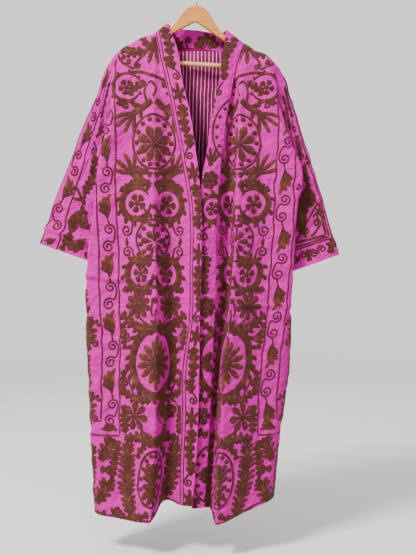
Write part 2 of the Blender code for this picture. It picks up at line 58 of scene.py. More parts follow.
class Finish:
    """A Principled material that is wired up node by node."""

    def __init__(self, name, roughness, **sockets):
        self.material = bpy.data.materials.new(name)
        self.material.use_nodes = True
        self.tree = self.material.node_tree
        self.shader = self.tree.nodes["Principled BSDF"]
        self.shader.inputs["Roughness"].default_value = roughness
        for socket, value in sockets.items():
            self.shader.inputs[socket.replace("_", " ")].default_value = value

    def node(self, kind, *values, out="Fac", **named):
        """Add a node and return what comes out: the output asked for, or else the first one.
        Values go to the sockets in turn, and names in small letters are settings."""
        added = self.tree.nodes.new("ShaderNode" + kind)
        for key, value in [*named.items(), *enumerate(values)]:
            if isinstance(key, str) and key.islower():
                setattr(added, key, value)
                continue
            socket = added.inputs[key.replace("_", " ") if isinstance(key, str) else key]
            if isinstance(value, bpy.types.NodeSocket):
                self.tree.links.new(value, socket)
            else:
                socket.default_value = value
        return added.outputs.get(out, added.outputs[0])

    def reckon(self, operation, *values):
        return self.node("Math", *values, operation=operation)

    def noise(self, at, scale, detail, roughness=0.5, stretch=None, **more):
        if stretch:
            at = self.node("Mapping", at, Scale=stretch)
        return self.node("TexNoise", Vector=at, Scale=scale, Detail=detail, Roughness=roughness, **more)

    def ramp(self, factor, *stops, mode="LINEAR"):
        """Colours by a factor. A stop is a place and the red, green and blue there."""
        colour = self.node("ValToRGB", factor)
        points = colour.node.color_ramp.elements
        colour.node.color_ramp.interpolation = mode
        while len(points) < len(stops):
            points.new(0.5)
        for point, (place, *shade) in zip(points, stops):
            point.position = place
            point.color = (*shade, 1)
        return colour

    def dress(self, colour, height, strength, distance, **more):
        """Wire up the colour and the small relief of the surface."""
        bump = self.node("Bump", Height=height, Strength=strength, Distance=distance, **more)
        self.tree.links.new(colour, self.shader.inputs["Base Color"])
        self.tree.links.new(bump, self.shader.inputs["Normal"])


def stand(name, data, place=(0, 0, 0), turn=(0, 0, 0)):
    """Put a new object into the scene."""
    made = bpy.data.objects.new(name, data)
    made.location, made.rotation_euler = place, turn
    bpy.context.scene.collection.objects.link(made)
    return made


def object_of(name, work, *finishes):
    """Turn modelled faces into an object at the origin, with its materials."""
    mesh = bpy.data.meshes.new(name)
    work.to_mesh(mesh)
    work.free()
    for finish in finishes:
        mesh.materials.append(finish.material)
    return stand(name, mesh)


lens = bpy.data.cameras.new("camera")
lens.lens = CAMERA_LENS
bpy.context.scene.camera = stand("camera", lens, CAMERA_PLACE, (math.radians(90), 0, 0))

plaster = Finish("pale floor paint", 0.9, Base_Color=(0.56, 0.55, 0.535, 1))
floor_place = plaster.node("TexCoord", out="Object")
distance = plaster.node("VectorMath", floor_place, operation="LENGTH", out="Value")
haze = plaster.node("MapRange", distance, HAZE_NEAR, HAZE_FAR, interpolation_type="SMOOTHSTEP")
far_off = plaster.node("Emission", PALE, ROOM_LIGHT)
fade = plaster.node("MixShader", haze, plaster.shader.outputs[0], far_off)
plaster.tree.links.new(fade, plaster.tree.nodes["Material Output"].inputs[0])
ground = bmesh.new()
bmesh.ops.create_grid(ground, x_segments=2, y_segments=2, size=FLOOR_HALF)
bmesh.ops.translate(ground, verts=ground.verts, vec=(0, 0, FLOOR_DROP))
object_of("floor", ground, plaster)

sky = bpy.data.worlds.new("pale studio")
sky.use_nodes = True
sky.node_tree.nodes["Background"].inputs["Color"].default_value = PALE
sky.node_tree.nodes["Background"].inputs["Strength"].default_value = ROOM_LIGHT
bpy.context.scene.world = sky

for name, place, size, power in LAMPS:
    light = bpy.data.lights.new(name, "AREA")
    light.energy, light.size = power, size
    x, y, z = LIT_PLACE - place
    stand(name, light, place, (math.atan2(math.hypot(x, y), -z), 0.0, math.atan2(x, -y) + math.pi))


# The hanger: a board sawn from one plank and varnished, a round bar held between its two
# lobes, and a zinc-plated wire hook screwed into its top. Only their finishes are made here.
GRAIN_TURN = (0, math.radians(-3.6), 0)


def along_grain(finish, stretch):
    """Places on the wood, stretched along its grain."""
    return finish.node("Mapping", finish.node("TexCoord", out="Object"), Scale=stretch, Rotation=GRAIN_TURN)


beech = Finish("varnished beech", 0.42, Coat_Weight=0.08, Coat_Roughness=0.25)
along = along_grain(beech, (9, 60, 85))
grain = beech.noise(along, 1.6, 7, 0.65, Distortion=0.35)
rings = beech.node("TexWave", Vector=along, wave_type="BANDS", bands_direction="Z",
                   Scale=0.35, Distortion=5.5, Detail=3, Detail_Scale=0.6)
colour = beech.ramp(beech.reckon("MULTIPLY_ADD", rings, 0.14, grain), (0.36, 0.31, 0.104, 0.011),
                    (0.56, 0.45, 0.156, 0.016), (0.85, 0.52, 0.195, 0.025))
beech.dress(colour, grain, 0.12, 0.0006)

turned = Finish("pale turned wood", 0.42, Coat_Weight=0.2, Coat_Roughness=0.3)
grain = turned.noise(along_grain(turned, (8, 150, 150)), 1.2, 6, 0.6)
colour = turned.ramp(grain, (0.35, 0.43, 0.215, 0.048), (0.55, 0.59, 0.335, 0.086), (0.8, 0.70, 0.45, 0.155))
turned.dress(colour, grain, 0.1, 0.0004)

zinc = Finish("zinc-plated wire", 0.38, Metallic=1.0)
place = zinc.node("TexCoord", out="Object")
colour = zinc.ramp(zinc.noise(place, 160, 4, 0.7), (0.3, 0.09, 0.09, 0.10), (0.7, 0.16, 0.16, 0.17))
zinc.dress(colour, zinc.noise(place, 900, 2), 0.15, 0.0002)

for name, finish in (("hanger_wood", beech), ("trouser_bar", turned), ("hanger_hook", zinc)):
    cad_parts[name].data.materials.clear()
    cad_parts[name].data.materials.append(finish.material)


# The two fronts: slubby orchid cotton, lined and quilted to about 2 mm. Each is cut as one
# straight panel and hangs in a sharp ridge with a deep valley beside it, next to its band.
# The fold lines are read off row by row: height in, height out, then x and y of each.
MM = 0.001
WALL = 2.2              # mm, shell, quilting and lining together
SEAM_GAP = 0.08         # mm between two panels
SHOULDER_ROUND = 13.0   # mm below the shoulder seam where the cloth starts to hang straight
FRONT_LINES = ("band seam", "valley", "ridge", "middle", "side fold", "tuck", "side seam")
LEFT_FRONT = (
    (-132, -176, -106, -13, -107, -13, -109, -13, -150, -13, -180, -13, -187, -13, -194, -13),
    (-190, -212, -95, -20, -100, -20, -106, -23, -150, -20, -196, -17, -203, -16, -209, -14),
    (-280, -288, -74, -30, -83, -27, -106, -36, -154, -26, -206, -27, -213, -25, -218, -21),
    (-360, -355, -58, -36, -67, -30, -106, -46, -165, -31, -224, -33, -226, -21, -216, -10),
    (-440, -440, -41, -44, -61, -32, -106, -55, -175, -34, -241, -34, -231, -18, -206, 0),
    (-470, -470, -36, -47, -61, -33, -106, -58, -178, -35, -247, -34, -237, -18, -190, 0),
    (-570, -570, -21, -54, -60, -34, -107, -67, -184, -38, -259, -34, -243, -18, -186, 0),
    (-765, -765, -15, -62, -60, -38, -101, -80, -191, -42, -279, -32, -256, -17, -192, 0),
    (-885, -885, -19, -63, -59, -40, -97, -85, -196, -46, -281, -27, -283, -7, -262, 14),
    (-1000, -1000, -34, -62, -62, -41, -97, -89, -197, -48, -275, -25, -280, -3, -266, 18),
    (-1180, -1180, -37, -62, -67, -42, -101, -91, -197, -50, -268, -25, -272, -3, -260, 19),
    (-1350, -1350, -42, -62, -72, -44, -114, -93, -192, -52, -258, -25, -262, -3, -250, 19),
)
LEFT_SHOULDER = (-132, -133, -134, -149.5, -166.5, -170, -176)
LEFT_HEM = (-1342, -1334, -1379, -1380, -1372, -1370, -1368)
RIGHT_FRONT = (
    (-160, -203, 125, -13, 126.5, -13, 129, -13, 156, -13, 180, -13, 188, -13, 197, -13),
    (-212, -235, 106, -17, 109, -15, 115, -27, 150, -22, 195, -20, 200, -18, 203, -15),
    (-285, -295, 92, -26, 99, -17, 111, -42, 155, -30, 203, -26, 208, -24, 211, -21),
    (-365, -365, 77, -34, 94, -19, 109, -50, 160, -36, 226, -33, 227, -21, 213, -10),
    (-440, -440, 68, -41, 92, -21, 107, -57, 165, -40, 250, -34, 233, -18, 207, 0),
    (-475, -475, 64, -44, 90, -22, 106, -60, 169, -41, 267, -34, 247, -18, 191, 0),
    (-600, -600, 53, -53, 87, -24, 102, -71, 170, -45, 257, -34, 240, -18, 187, 0),
    (-785, -785, 50, -56, 82, -29, 92, -83, 168, -48, 246, -33, 236, -17, 190, 0),
    (-900, -900, 46, -57, 70, -33, 81, -88, 164, -50, 241, -27, 246, -7, 229, 14),
    (-1000, -1000, 41, -57, 58, -36, 71, -91, 158, -52, 236, -25, 241, -3, 228, 18),
    (-1180, -1180, 33, -57, 44, -40, 61, -94, 148, -54, 212, -26, 217, -4, 206, 18),
    (-1350, -1350, 22, -58, 32, -46, 50, -96, 130, -58, 196, -28, 201, -5, 190, 17),
)
RIGHT_SHOULDER = (-160, -161, -162, -179, -189, -195, -203)
RIGHT_HEM = (-1350, -1352, -1383, -1358, -1334, -1328, -1325)
FRONT_CELLS = (7, 13, 20, 16, 6, 8)
TOP_SHARES = (0, 0.015, 0.035, 0.065, 0.1, 0.15, 0.22, 0.33, 0.5, 0.66, 0.83)
UNDERARM_SHARES = (0, 0.09, 0.18, 0.26, 0.35, 0.44, 0.53, 0.61, 0.7, 0.8, 0.9)
MESH_ROWS = (TOP_SHARES, 15, 15, UNDERARM_SHARES, 6, 22, 42, 26, 22, 36, 34)
ABOVE_UNDERARM = 4      # spans between fold line rows from the shoulder to the underarm
ARMHOLE_FOOT = sum(part if isinstance(part, int) else len(part) for part in MESH_ROWS[:ABOVE_UNDERARM])
ARMHOLE_FOOT_HALF = 2.0
ARMHOLE_FOOT_DEEP = 14.0
RIDGE = 2               # the fold line that the embroidery is measured from
RIDGE_EDGE = 0.6        # how much of the ridge's section is pressed to an edge
SLUB_STRETCH, WARP_STRETCH = (22, 330, 1), (420, 16, 1)
WEFTS, WARPS = 230, 260
STRIPE_REPEAT = 0.0098
EDGING_FOOT = 0.1735

# Creases pressed or hung into a front, in its flat cloth (mm): the first end's distance
# from the ridge and height, the other end's, width and depth. Plus is towards the side.
LEFT_CREASES = (
    (0, -215, -2, -760, 4.5, 2.2), (-2, -740, 0, -1365, 5, 2.4), (250, -758, -60, -771, 6, 3.2),
    (250, -772, -60, -786, 7, -2.6), (168, -762, 60, -778, 7, 1.6), (150, -792, 20, -806, 9, -1.2),
    (172, -830, 100, -846, 8, 1.2), (60, -1128, -40, -1150, 12, 2.6), (120, -1165, 30, -1196, 14, -1.8),
    (12, -1180, 26, -1372, 9, 3.2), (70, -1240, 96, -1376, 15, -2.4), (35, -255, 84, -330, 11, -1.4),
    (88, -205, 110, -300, 10, 1.5), (110, -350, 128, -520, 14, 1.7), (60, -420, 44, -640, 12, -1.1),
    (130, -560, 150, -700, 12, -1.6), (-12, -300, -30, -470, 8, 1.1), (90, -900, 104, -1060, 16, 1.6),
    (30, -1010, 22, -1130, 12, -1.3), (150, -930, 60, -948, 8, 0.9), (140, -410, 96, -450, 8, -1.2),
    (160, -480, 130, -610, 9, 1.4),
)
RIGHT_CREASES = (
    (0, -240, 2, -800, 4.5, 2.0), (2, -760, 0, -1365, 5, 2.2), (250, -838, -60, -826, 6, 2.8),
    (250, -853, -60, -841, 7, -2.2), (150, -842, 20, -816, 8, 1.5), (160, -890, 70, -874, 8, -1.0),
    (110, -262, 70, -350, 10, 1.5), (40, -240, 60, -330, 9, -1.2), (120, -380, 96, -540, 14, 1.8),
    (60, -470, 66, -640, 12, -1.3), (140, -520, 150, -680, 11, 1.5), (30, -700, 40, -900, 14, 1.2),
    (96, -940, 88, -1120, 16, 1.7), (40, -1080, 60, -1360, 13, 2.2), (110, -1160, 128, -1330, 12, -2.4),
    (150, -1190, 130, -1330, 9, 2.0), (-16, -420, -24, -600, 8, 1.0), (140, -420, 110, -446, 8, -1.3),
    (-20, -880, -14, -1050, 8, -1.0),
)


def smooth_curve(knots, values, at):
    """Read a smooth curve that passes through the values at its knots."""
    knots, values, at = (np.asarray(part, float) for part in (knots, values, at))
    step = np.diff(knots)
    slope = np.diff(values, axis=0) / step[:, None]
    before, after = step[:-1, None], step[1:, None]
    inner = (slope[:-1] * after + slope[1:] * before) / (before + after)
    tangent = np.vstack([slope[:1], inner, slope[-1:]])
    cell = np.clip(np.searchsorted(knots, at, side="right") - 1, 0, len(step) - 1)
    width = step[cell][:, None]
    t = (at - knots[cell])[:, None] / width
    return (
        (2 * t**3 - 3 * t**2 + 1) * values[cell]
        + (t**3 - 2 * t**2 + t) * width * tangent[cell]
        + (3 * t**2 - 2 * t**3) * values[cell + 1]
        + (t**3 - t**2) * width * tangent[cell + 1]
    )


def run_lengths(points):
    """Distance along a row of points, from its first point, in space or in the flat cloth."""
    steps = np.diff(points, axis=0)
    steps = np.linalg.norm(steps, axis=1) if steps.ndim > 1 else abs(steps)
    return np.concatenate([[0.0], np.cumsum(steps)])


def across(stations, cells):
    """One section: a smooth curve through its fold lines, split into cells."""
    places = run_lengths(stations)
    at = [
        places[i] + (places[i + 1] - places[i]) * k / count
        for i, count in enumerate(cells)
        for k in range(count)
    ]
    return smooth_curve(places, stations, at + [places[-1]])


def round_over(depth):
    """0 at the shoulder seam, 1 where the cloth hangs straight below the hanger's arm."""
    share = np.clip(depth / SHOULDER_ROUND, 0.0, 1.0)
    return np.sqrt(1.0 - (1.0 - share) ** 2)


def sections(lines, row_shares):
    """Read a table of fold lines, shaped (row, line, xyz), at every mesh row."""
    heights = -lines[:, :, 2].mean(axis=1)
    at = []
    for i, shares in enumerate(row_shares):
        if isinstance(shares, int):
            shares = np.arange(shares) / shares
        at += [heights[i] + (heights[i + 1] - heights[i]) * share for share in shares]
    flat = smooth_curve(heights, lines.reshape(len(lines), -1), at + [heights[-1]])
    return flat.reshape(len(at) + 1, -1, 3)


def course(points):
    """The direction of each row at each of its points, near and far neighbours alike."""
    steps = np.diff(points, axis=1)
    steps /= np.linalg.norm(steps, axis=2)[:, :, None]
    return np.concatenate([steps[:, :1], steps[:, :-1] + steps[:, 1:], steps[:, -1:]], axis=1)


class Panel:
    """One piece of cloth: a grid of points on its outer face, the directions they face, and
    their places in the flat cloth (across from one column, down along one direction)."""
    BOW, BOW_MOST = 0.06, 6
    WAVES, WAVE_SHORT, WAVE_LONG = 26, 16, 75

    def __init__(self, points, outward, zero_column=0, hang=(0.0, 0.0, -1.0), origin=(0.0, 0.0, 0.0)):
        self.points, self.outward = points, outward
        self.zero_column, self.hang, self.origin = zero_column, np.array(hang), np.array(origin)
        self.survey()

    def survey(self):
        points = self.points
        facing = np.cross(course(points), course(points.swapaxes(0, 1)).swapaxes(0, 1)) * self.outward
        self.facing = facing / np.linalg.norm(facing, axis=2)[:, :, None]
        steps = np.linalg.norm(np.diff(points, axis=1), axis=2)
        run = np.concatenate([np.zeros((len(points), 1)), np.cumsum(steps, axis=1)], axis=1)
        self.across = run - run[:, self.zero_column][:, None]
        self.down = (points - self.origin) @ self.hang

    def inner(self, wall):
        """The points of the inner face."""
        return self.points - self.facing * wall

    def crease(self, creases):
        """Push soft ridges and troughs into the cloth, each between two places in the flat."""
        lift = np.zeros(self.across.shape)
        for start_off, start_high, end_off, end_high, width, depth in creases:
            start = np.array((start_off, -start_high))
            line = (end_off, -end_high) - start
            long = np.linalg.norm(line)
            offset = np.stack([self.across, self.down], axis=2) - start
            share = offset @ line / line.dot(line)
            inside = np.clip(share, 0, 1)
            bow = min(self.BOW * long, self.BOW_MOST) * np.sin(math.pi * inside)
            away = (offset[:, :, 0] * line[1] - offset[:, :, 1] * line[0]) / long - bow
            fade = np.clip(1.0 - (2 * share - 1) ** 2, 0, 1) ** 0.8
            lift += depth * fade * np.exp(-((away / (width * (0.7 + 0.5 * inside))) ** 2))
        self.points = self.points + self.facing * lift[:, :, None]
        self.survey()

    def pucker(self, size, seed):
        """The small uneven waves of stitched cotton, strongest away from its seams."""
        draw = np.random.default_rng(seed).uniform
        lift = np.zeros(self.across.shape)
        for wave in range(self.WAVES):
            length = draw(self.WAVE_SHORT, self.WAVE_LONG)
            turn = draw(0, math.pi)
            phase = (self.across * math.cos(turn) + self.down * math.sin(turn)) / length * 2 * math.pi
            sway = 2.2 * np.sin(self.across / 47 + wave) + 1.7 * np.sin(self.down / 61 - wave)
            lift += np.sin(phase + draw(0, 6.28) + sway) * length / self.WAVE_LONG * draw(0.4, 1.0)
        rows, columns = lift.shape
        edge = np.minimum(np.arange(columns), np.arange(columns)[::-1]) / 3
        top = np.minimum(np.arange(rows), 12) / 12
        fade = np.clip(edge, 0.25, 1)[None, :] * np.clip(top, 0.05, 1)[:, None]
        self.points = self.points + self.facing * (lift * fade * size)[:, :, None]
        self.survey()


def sew(first, first_edge, second, second_edge):
    """Bring two edges onto one seam: both rims lie along its mitre, half a gap either side.
    An edge is a row and a column, one of them the first or the last, the other a slice."""
    seam = (first.points[first_edge] + second.points[second_edge]) / 2
    facing = first.facing[first_edge] + second.facing[second_edge]
    for _ in range(3):
        facing[1:-1] = facing[:-2] + 2 * facing[1:-1] + facing[2:]
        facing /= np.linalg.norm(facing, axis=1)[:, None]
    run = np.gradient(seam, axis=0)
    aside = np.cross(run, facing)
    aside /= np.linalg.norm(aside, axis=1)[:, None]
    for panel, edge in ((first, first_edge), (second, second_edge)):
        beside = tuple(part if isinstance(part, slice) else {0: 1, -1: -2}[part] for part in edge)
        inwards = panel.points[beside] - seam
        side = np.sign((inwards * aside).sum(axis=1).mean())
        panel.points[edge] = seam + aside * side * SEAM_GAP / 2
        panel.facing[edge] = facing


def meet(*corners):
    """Give the corners of several panels one direction to face, and part them a little."""
    facing = sum(panel.facing[row, column] for panel, row, column in corners)
    facing = facing * (1, 0, 1) / np.linalg.norm(facing * (1, 0, 1))
    middle = sum(panel.points[row, column] for panel, row, column in corners) / len(corners)
    for panel, row, column in corners:
        rows, columns = panel.points.shape[:2]
        inner_row = min(max(row % rows, 1), rows - 2)
        inner_column = min(max(column % columns, 1), columns - 2)
        away = panel.points[inner_row, inner_column] - middle
        away -= facing * away.dot(facing)
        panel.points[row, column] = middle + away / np.linalg.norm(away) * SEAM_GAP
        panel.facing[row, column] = facing


def pressed(stations):
    """A front's section: in part one smooth curve, in part two that meet in an edge at the
    ridge, which is sharper there than the solid by some 3 mm at most."""
    soft = across(stations, FRONT_CELLS)
    near = across(stations[:RIDGE + 1], FRONT_CELLS[:RIDGE])
    far = across(stations[RIDGE:], FRONT_CELLS[RIDGE:])
    return soft * (1 - RIDGE_EDGE) + np.vstack([near, far[1:]]) * RIDGE_EDGE


def front_panel(rows, shoulder, hem, outward):
    """A front, from its band seam to its side seam, row by row from the shoulder down."""
    table = np.array(rows, float)
    count = len(FRONT_LINES)
    lines = np.empty((len(table), count, 3))
    lines[:, :, 0] = table[:, 2::2]
    lines[:, :, 1] = table[:, 3::2]
    lines[:, :, 2] = table[:, :1] + (table[:, 1:2] - table[:, :1]) * np.linspace(0.0, 1.0, count)
    lines[0, :, 2] = shoulder
    lines[-1, :, 2] = hem
    points = np.array([pressed(row) for row in sections(lines, MESH_ROWS)])
    points[:, :, 1] *= round_over(points[:1, :, 2] - points[:, :, 2])
    return Panel(points, outward, sum(FRONT_CELLS[:RIDGE]))


def cloth(name, panel, outside, inside, wall=WALL):
    """The flat cloth's sizes go into a UV map, in metres, so the weave follows the panel."""
    outer, inner = panel.points, panel.inner(wall)
    rows, columns = outer.shape[:2]
    sheet = bmesh.new()
    bmesh.ops.create_grid(sheet, x_segments=columns - 1, y_segments=rows - 1, size=1.0)
    row_of, column_of = sheet.verts.layers.int.new("row"), sheet.verts.layers.int.new("column")
    for vert in sheet.verts:
        vert[column_of] = round((vert.co.x + 1) / 2 * (columns - 1))
        vert[row_of] = round((vert.co.y + 1) / 2 * (rows - 1))
        vert.co = outer[vert[row_of], vert[column_of]] * MM
    weave = sheet.loops.layers.uv.new("weave")
    flat = np.stack([panel.across, panel.down], axis=2) * MM
    for face in sheet.faces:
        for loop in face.loops:
            loop[weave].uv = flat[loop.vert[row_of], loop.vert[column_of]]
    if np.allclose(outer[:, 0], outer[:, -1]):
        bmesh.ops.remove_doubles(sheet, verts=sheet.verts, dist=0.00001)
    pushed = bmesh.ops.extrude_face_region(sheet, geom=list(sheet.faces))
    for item in pushed["geom"]:
        if isinstance(item, bmesh.types.BMVert):
            item.co = inner[item[row_of], item[column_of]] * MM
        elif isinstance(item, bmesh.types.BMFace):
            item.material_index = 1
    bmesh.ops.recalc_face_normals(sheet, faces=sheet.faces)
    made = object_of("coat_" + name, sheet, outside, inside)
    made.data.shade_smooth()
    made.data.set_sharp_from_angle(angle=math.radians(60))
    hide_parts(name)
    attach(made, "root")


orchid = Finish("orchid cotton", 0.9, Specular_IOR_Level=0.07)
weave_at = orchid.node("UVMap", uv_map="weave")
slubs = orchid.noise(weave_at, 1.0, 5, 0.62, SLUB_STRETCH)
warp = orchid.noise(weave_at, 1.0, 4, 0.6, WARP_STRETCH)
bleed = orchid.noise(weave_at, 17, 4, 0.6)
threads = orchid.reckon("ADD", slubs, warp)
mottle = orchid.reckon("MULTIPLY_ADD", bleed, 0.9, threads)
colour = orchid.ramp(
    orchid.reckon("DIVIDE", mottle, 2.9), (0.30, 0.31, 0.0008, 0.157), (0.44, 0.405, 0.0012, 0.216),
    (0.58, 0.47, 0.0016, 0.258), (0.78, 0.57, 0.005, 0.335))
weft_line = orchid.node("TexWave", Vector=weave_at, bands_direction="Y", Scale=WEFTS, Distortion=1.2)
warp_line = orchid.node("TexWave", Vector=weave_at, bands_direction="X", Scale=WARPS, Distortion=1.2)
rough = orchid.reckon("MULTIPLY_ADD", threads, 1.3, orchid.reckon("MULTIPLY", weft_line, warp_line))
fine = orchid.node("Bump", Strength=0.35, Distance=0.0005, Height=rough)
orchid.dress(colour, orchid.noise(weave_at, 52, 3, 0.55), 0.9, 0.010, Normal=fine)

striped = Finish("striped cotton", 0.85, Specular_IOR_Level=0.1)
weave_at = striped.node("UVMap", uv_map="weave")
sway = striped.reckon("MULTIPLY", striped.noise(weave_at, 9, 1), 0.25)
across_at = striped.node("SeparateXYZ", weave_at, out="X")
repeat = striped.reckon("MULTIPLY_ADD", across_at, 1 / STRIPE_REPEAT, sway)
stripes = striped.ramp(
    striped.reckon("FRACT", repeat), (0.0, 0.64, 0.31, 0.46), (0.18, 0.03, 0.0003, 0.013),
    (0.34, 0.20, 0.0001, 0.068), (0.86, 0.035, 0.0003, 0.014), mode="CONSTANT")
edging = striped.reckon("LESS_THAN", striped.node("SeparateXYZ", weave_at, out="Y"), EDGING_FOOT)
edged = striped.node("MixRGB", edging, stripes, (0.13, 0.0001, 0.045, 1))
fibres = striped.noise(weave_at, 1.0, 3, stretch=(900, 120, 1))
worn = striped.ramp(fibres, (0.3, 0.7, 0.7, 0.7), (0.7, 1, 1, 1))
striped.dress(striped.node("MixRGB", 0.5, edged, worn, blend_type="MULTIPLY"), fibres, 0.3, 0.0004)

front_left = front_panel(LEFT_FRONT, LEFT_SHOULDER, LEFT_HEM, 1)
front_right = front_panel(RIGHT_FRONT, RIGHT_SHOULDER, RIGHT_HEM, -1)
side_seams = front_left.points[:, -1].copy(), front_right.points[:, -1].copy()
front_left.crease(LEFT_CREASES)
front_right.crease(RIGHT_CREASES)
front_left.pucker(0.5, 3)
front_right.pucker(0.5, 8)


# The back: one wide straight panel that hangs in three soft folds from the shoulders. Its
# shoulder, side and neck edges are sewn to the fronts, the sleeves and the collar. A row has
# its height at the left seam, middle and right seam, then x and y of three lines at the left,
# y of the folds' ridges and valleys, and x and y of three lines at the right.
BACK_ROWS = (
    (-212, -200, -235, -209, 14, -203, 16, -192, 18, 20, 27, 190, 18, 199, 17, 203, 15),
    (-288, -285, -295, -218, 21, -212, 25, -204, 27, 28, 28, 200, 27, 207, 25, 211, 21),
    (-355, -360, -365, -216, 10, -225, 21, -222, 33, 35, 27, 222, 33, 226, 21, 213, 10),
    (-440, -440, -440, -206, 0, -230, 18, -237, 34, 40, 26, 245, 34, 233, 18, 207, 0),
    (-470, -470, -475, -190, 0, -235, 18, -241, 34, 41, 26, 252, 34, 239, 18, 191, 0),
    (-570, -570, -600, -186, 0, -240, 18, -252, 34, 44, 25, 250, 34, 238, 18, 187, 0),
    (-765, -765, -785, -192, 0, -252, 17, -272, 34, 49, 25, 240, 34, 232, 17, 190, 0),
    (-885, -885, -900, -262, 14, -258, 26, -243, 34, 53, 25, 213, 34, 226, 26, 229, 14),
    (-1000, -1000, -1000, -266, 18, -256, 27, -238, 34, 55, 25, 204, 34, 219, 27, 228, 18),
    (-1180, -1180, -1180, -260, 19, -250, 28, -232, 35, 57, 26, 184, 35, 197, 27, 206, 18),
    (-1350, -1350, -1350, -250, 19, -240, 28, -222, 36, 60, 27, 168, 35, 181, 26, 190, 17),
)
BACK_FOLD_TOP = (-125, -92, 5, 102, 142)
BACK_FOLD_HEM = (-165, -105, -25, 60, 118)
BACK_TOP = (
    (-194, 13, -176), (-187, 13, -170), (-165, 13, -157.5), (-106, 13, -132), (-94, 24, -149),
    (5, 31, -164), (103, 22, -170), (125, 13, -160), (170, 13, -184), (188, 13, -195),
    (197, 13, -203),
)
BACK_HEM = (-1368, -1366, -1360, -1362, -1346, -1352, -1338, -1340, -1328, -1326, -1325)
NECK_LINE = 3           # fold lines from a side seam to the neck
BACK_CELLS = (8, 4, 10, 8, 17, 17, 8, 10, 4, 8)
NECK_START, NECK_END = sum(BACK_CELLS[:NECK_LINE]), sum(BACK_CELLS[:-NECK_LINE])
SHOULDERS = slice(0, NECK_START + 1), slice(NECK_END, None)
BACK_CREASES = (
    (-210, -300, -150, -420, 14, 2.0), (-60, -240, -80, -420, 16, -1.8), (40, -230, 30, -430, 15, 1.8),
    (190, -300, 150, -440, 13, -1.8), (-160, -520, -140, -760, 16, 1.9), (-40, -560, -60, -820, 18, -1.6),
    (90, -500, 110, -760, 15, 1.8), (-230, -600, -226, -860, 12, 1.4), (220, -560, 214, -800, 12, -1.6),
    (-120, -900, -150, -1180, 18, 2.2), (10, -940, 20, -1240, 17, -2.0), (140, -900, 120, -1160, 18, 1.9),
    (-200, -1150, -190, -1350, 14, -2.2), (-60, -1200, -70, -1356, 15, 2.4),
    (80, -1180, 90, -1340, 14, 2.2), (190, -1120, 180, -1320, 12, -1.8), (-180, -812, -40, -828, 9, 1.2),
    (20, -806, 190, -818, 9, 1.2),
)


def back_panel(left_front, right_front):
    """The back, from the left side seam to the right one, rounded over the hanger's arms."""
    table = np.array(BACK_ROWS, float)
    lines = np.empty((len(table) + 1, len(BACK_TOP), 3))
    lines[0] = BACK_TOP
    fall = (table[:, 1] - table[0, 1]) / (table[-1, 1] - table[0, 1])
    for row, (values, down) in enumerate(zip(table, fall), start=1):
        left, right = values[3:9].reshape(3, 2), values[11:17].reshape(3, 2)
        fold_x = np.array(BACK_FOLD_TOP) * (1 - down) + np.array(BACK_FOLD_HEM) * down
        ridge, valley = values[9:11]
        lines[row, :, 0] = (*left[:, 0], *fold_x, *right[:, 0])
        lines[row, :, 1] = (*left[:, 1], ridge, valley, ridge, valley, ridge, *right[:, 1])
        lines[row, :, 2] = np.interp(range(len(BACK_TOP)), (0, 5, 10), values[:3])
    lines[-1, :, 2] = BACK_HEM
    points = np.array([across(row, BACK_CELLS) for row in sections(lines, MESH_ROWS)])
    fade = np.linspace(1.0, 0.0, len(TOP_SHARES) + 1)[:, None]
    for front, columns in zip((left_front, right_front), SHOULDERS):
        line = front.points[0, np.argsort(front.points[0, :, 0])]
        lift = np.interp(points[0, columns, 0], line[:, 0], line[:, 2]) - points[0, columns, 2]
        points[:len(fade), columns, 2] += fade * lift
    column = np.arange(points.shape[1])
    from_neck = np.minimum(column - NECK_START, NECK_END - column)
    off_shoulder = np.clip(from_neck / BACK_CELLS[NECK_LINE], 0, 1)
    rounding = round_over(points[:1, :, 2] - points[:, :, 2])
    points[:, :, 1] *= rounding + (1.0 - rounding) * off_shoulder
    return Panel(points, 1, points.shape[1] // 2)


def round_armhole_foot(panel, column):
    """Open the foot of an armhole into a small round, so that the sleeve can turn there."""
    edge = panel.points[:ARMHOLE_FOOT + 1, column]
    above = np.clip((edge[:, 2] - edge[-1, 2]) / ARMHOLE_FOOT_DEEP, 0.0, 1.0)
    half = ARMHOLE_FOOT_HALF * np.sqrt(1.0 - (1.0 - above) ** 2)
    low = edge[:, 2] < edge[-1, 2] / 2 + edge[0, 2] / 2
    side = np.sign(edge[len(edge) // 2, 1])
    edge[low, 1] = side * np.maximum(np.abs(edge[low, 1]), half[low])


def close_shoulders(back, fronts):
    """Stand the shoulder seam's rims upright, half a gap each side of the hanger's middle."""
    for columns in SHOULDERS:
        back.points[0, columns, 1] = SEAM_GAP / 2
        back.facing[0, columns, 1] = 0.0
    for front in fronts:
        front.points[0, :, 1] = -SEAM_GAP / 2
        front.facing[0, :, 1] = 0.0
    for panel in (back, *fronts):
        panel.facing /= np.linalg.norm(panel.facing, axis=2)[:, :, None]


back = back_panel(front_left, front_right)
back.crease(BACK_CREASES)
back.pucker(0.65, 21)
front_left.points[:, -1], front_right.points[:, -1] = side_seams
back.points[:, 0], back.points[:, -1] = side_seams
back.points[:ARMHOLE_FOOT, (0, -1), 1] *= -1
for panel, column in ((front_left, -1), (front_right, -1), (back, 0), (back, -1)):
    round_armhole_foot(panel, column)


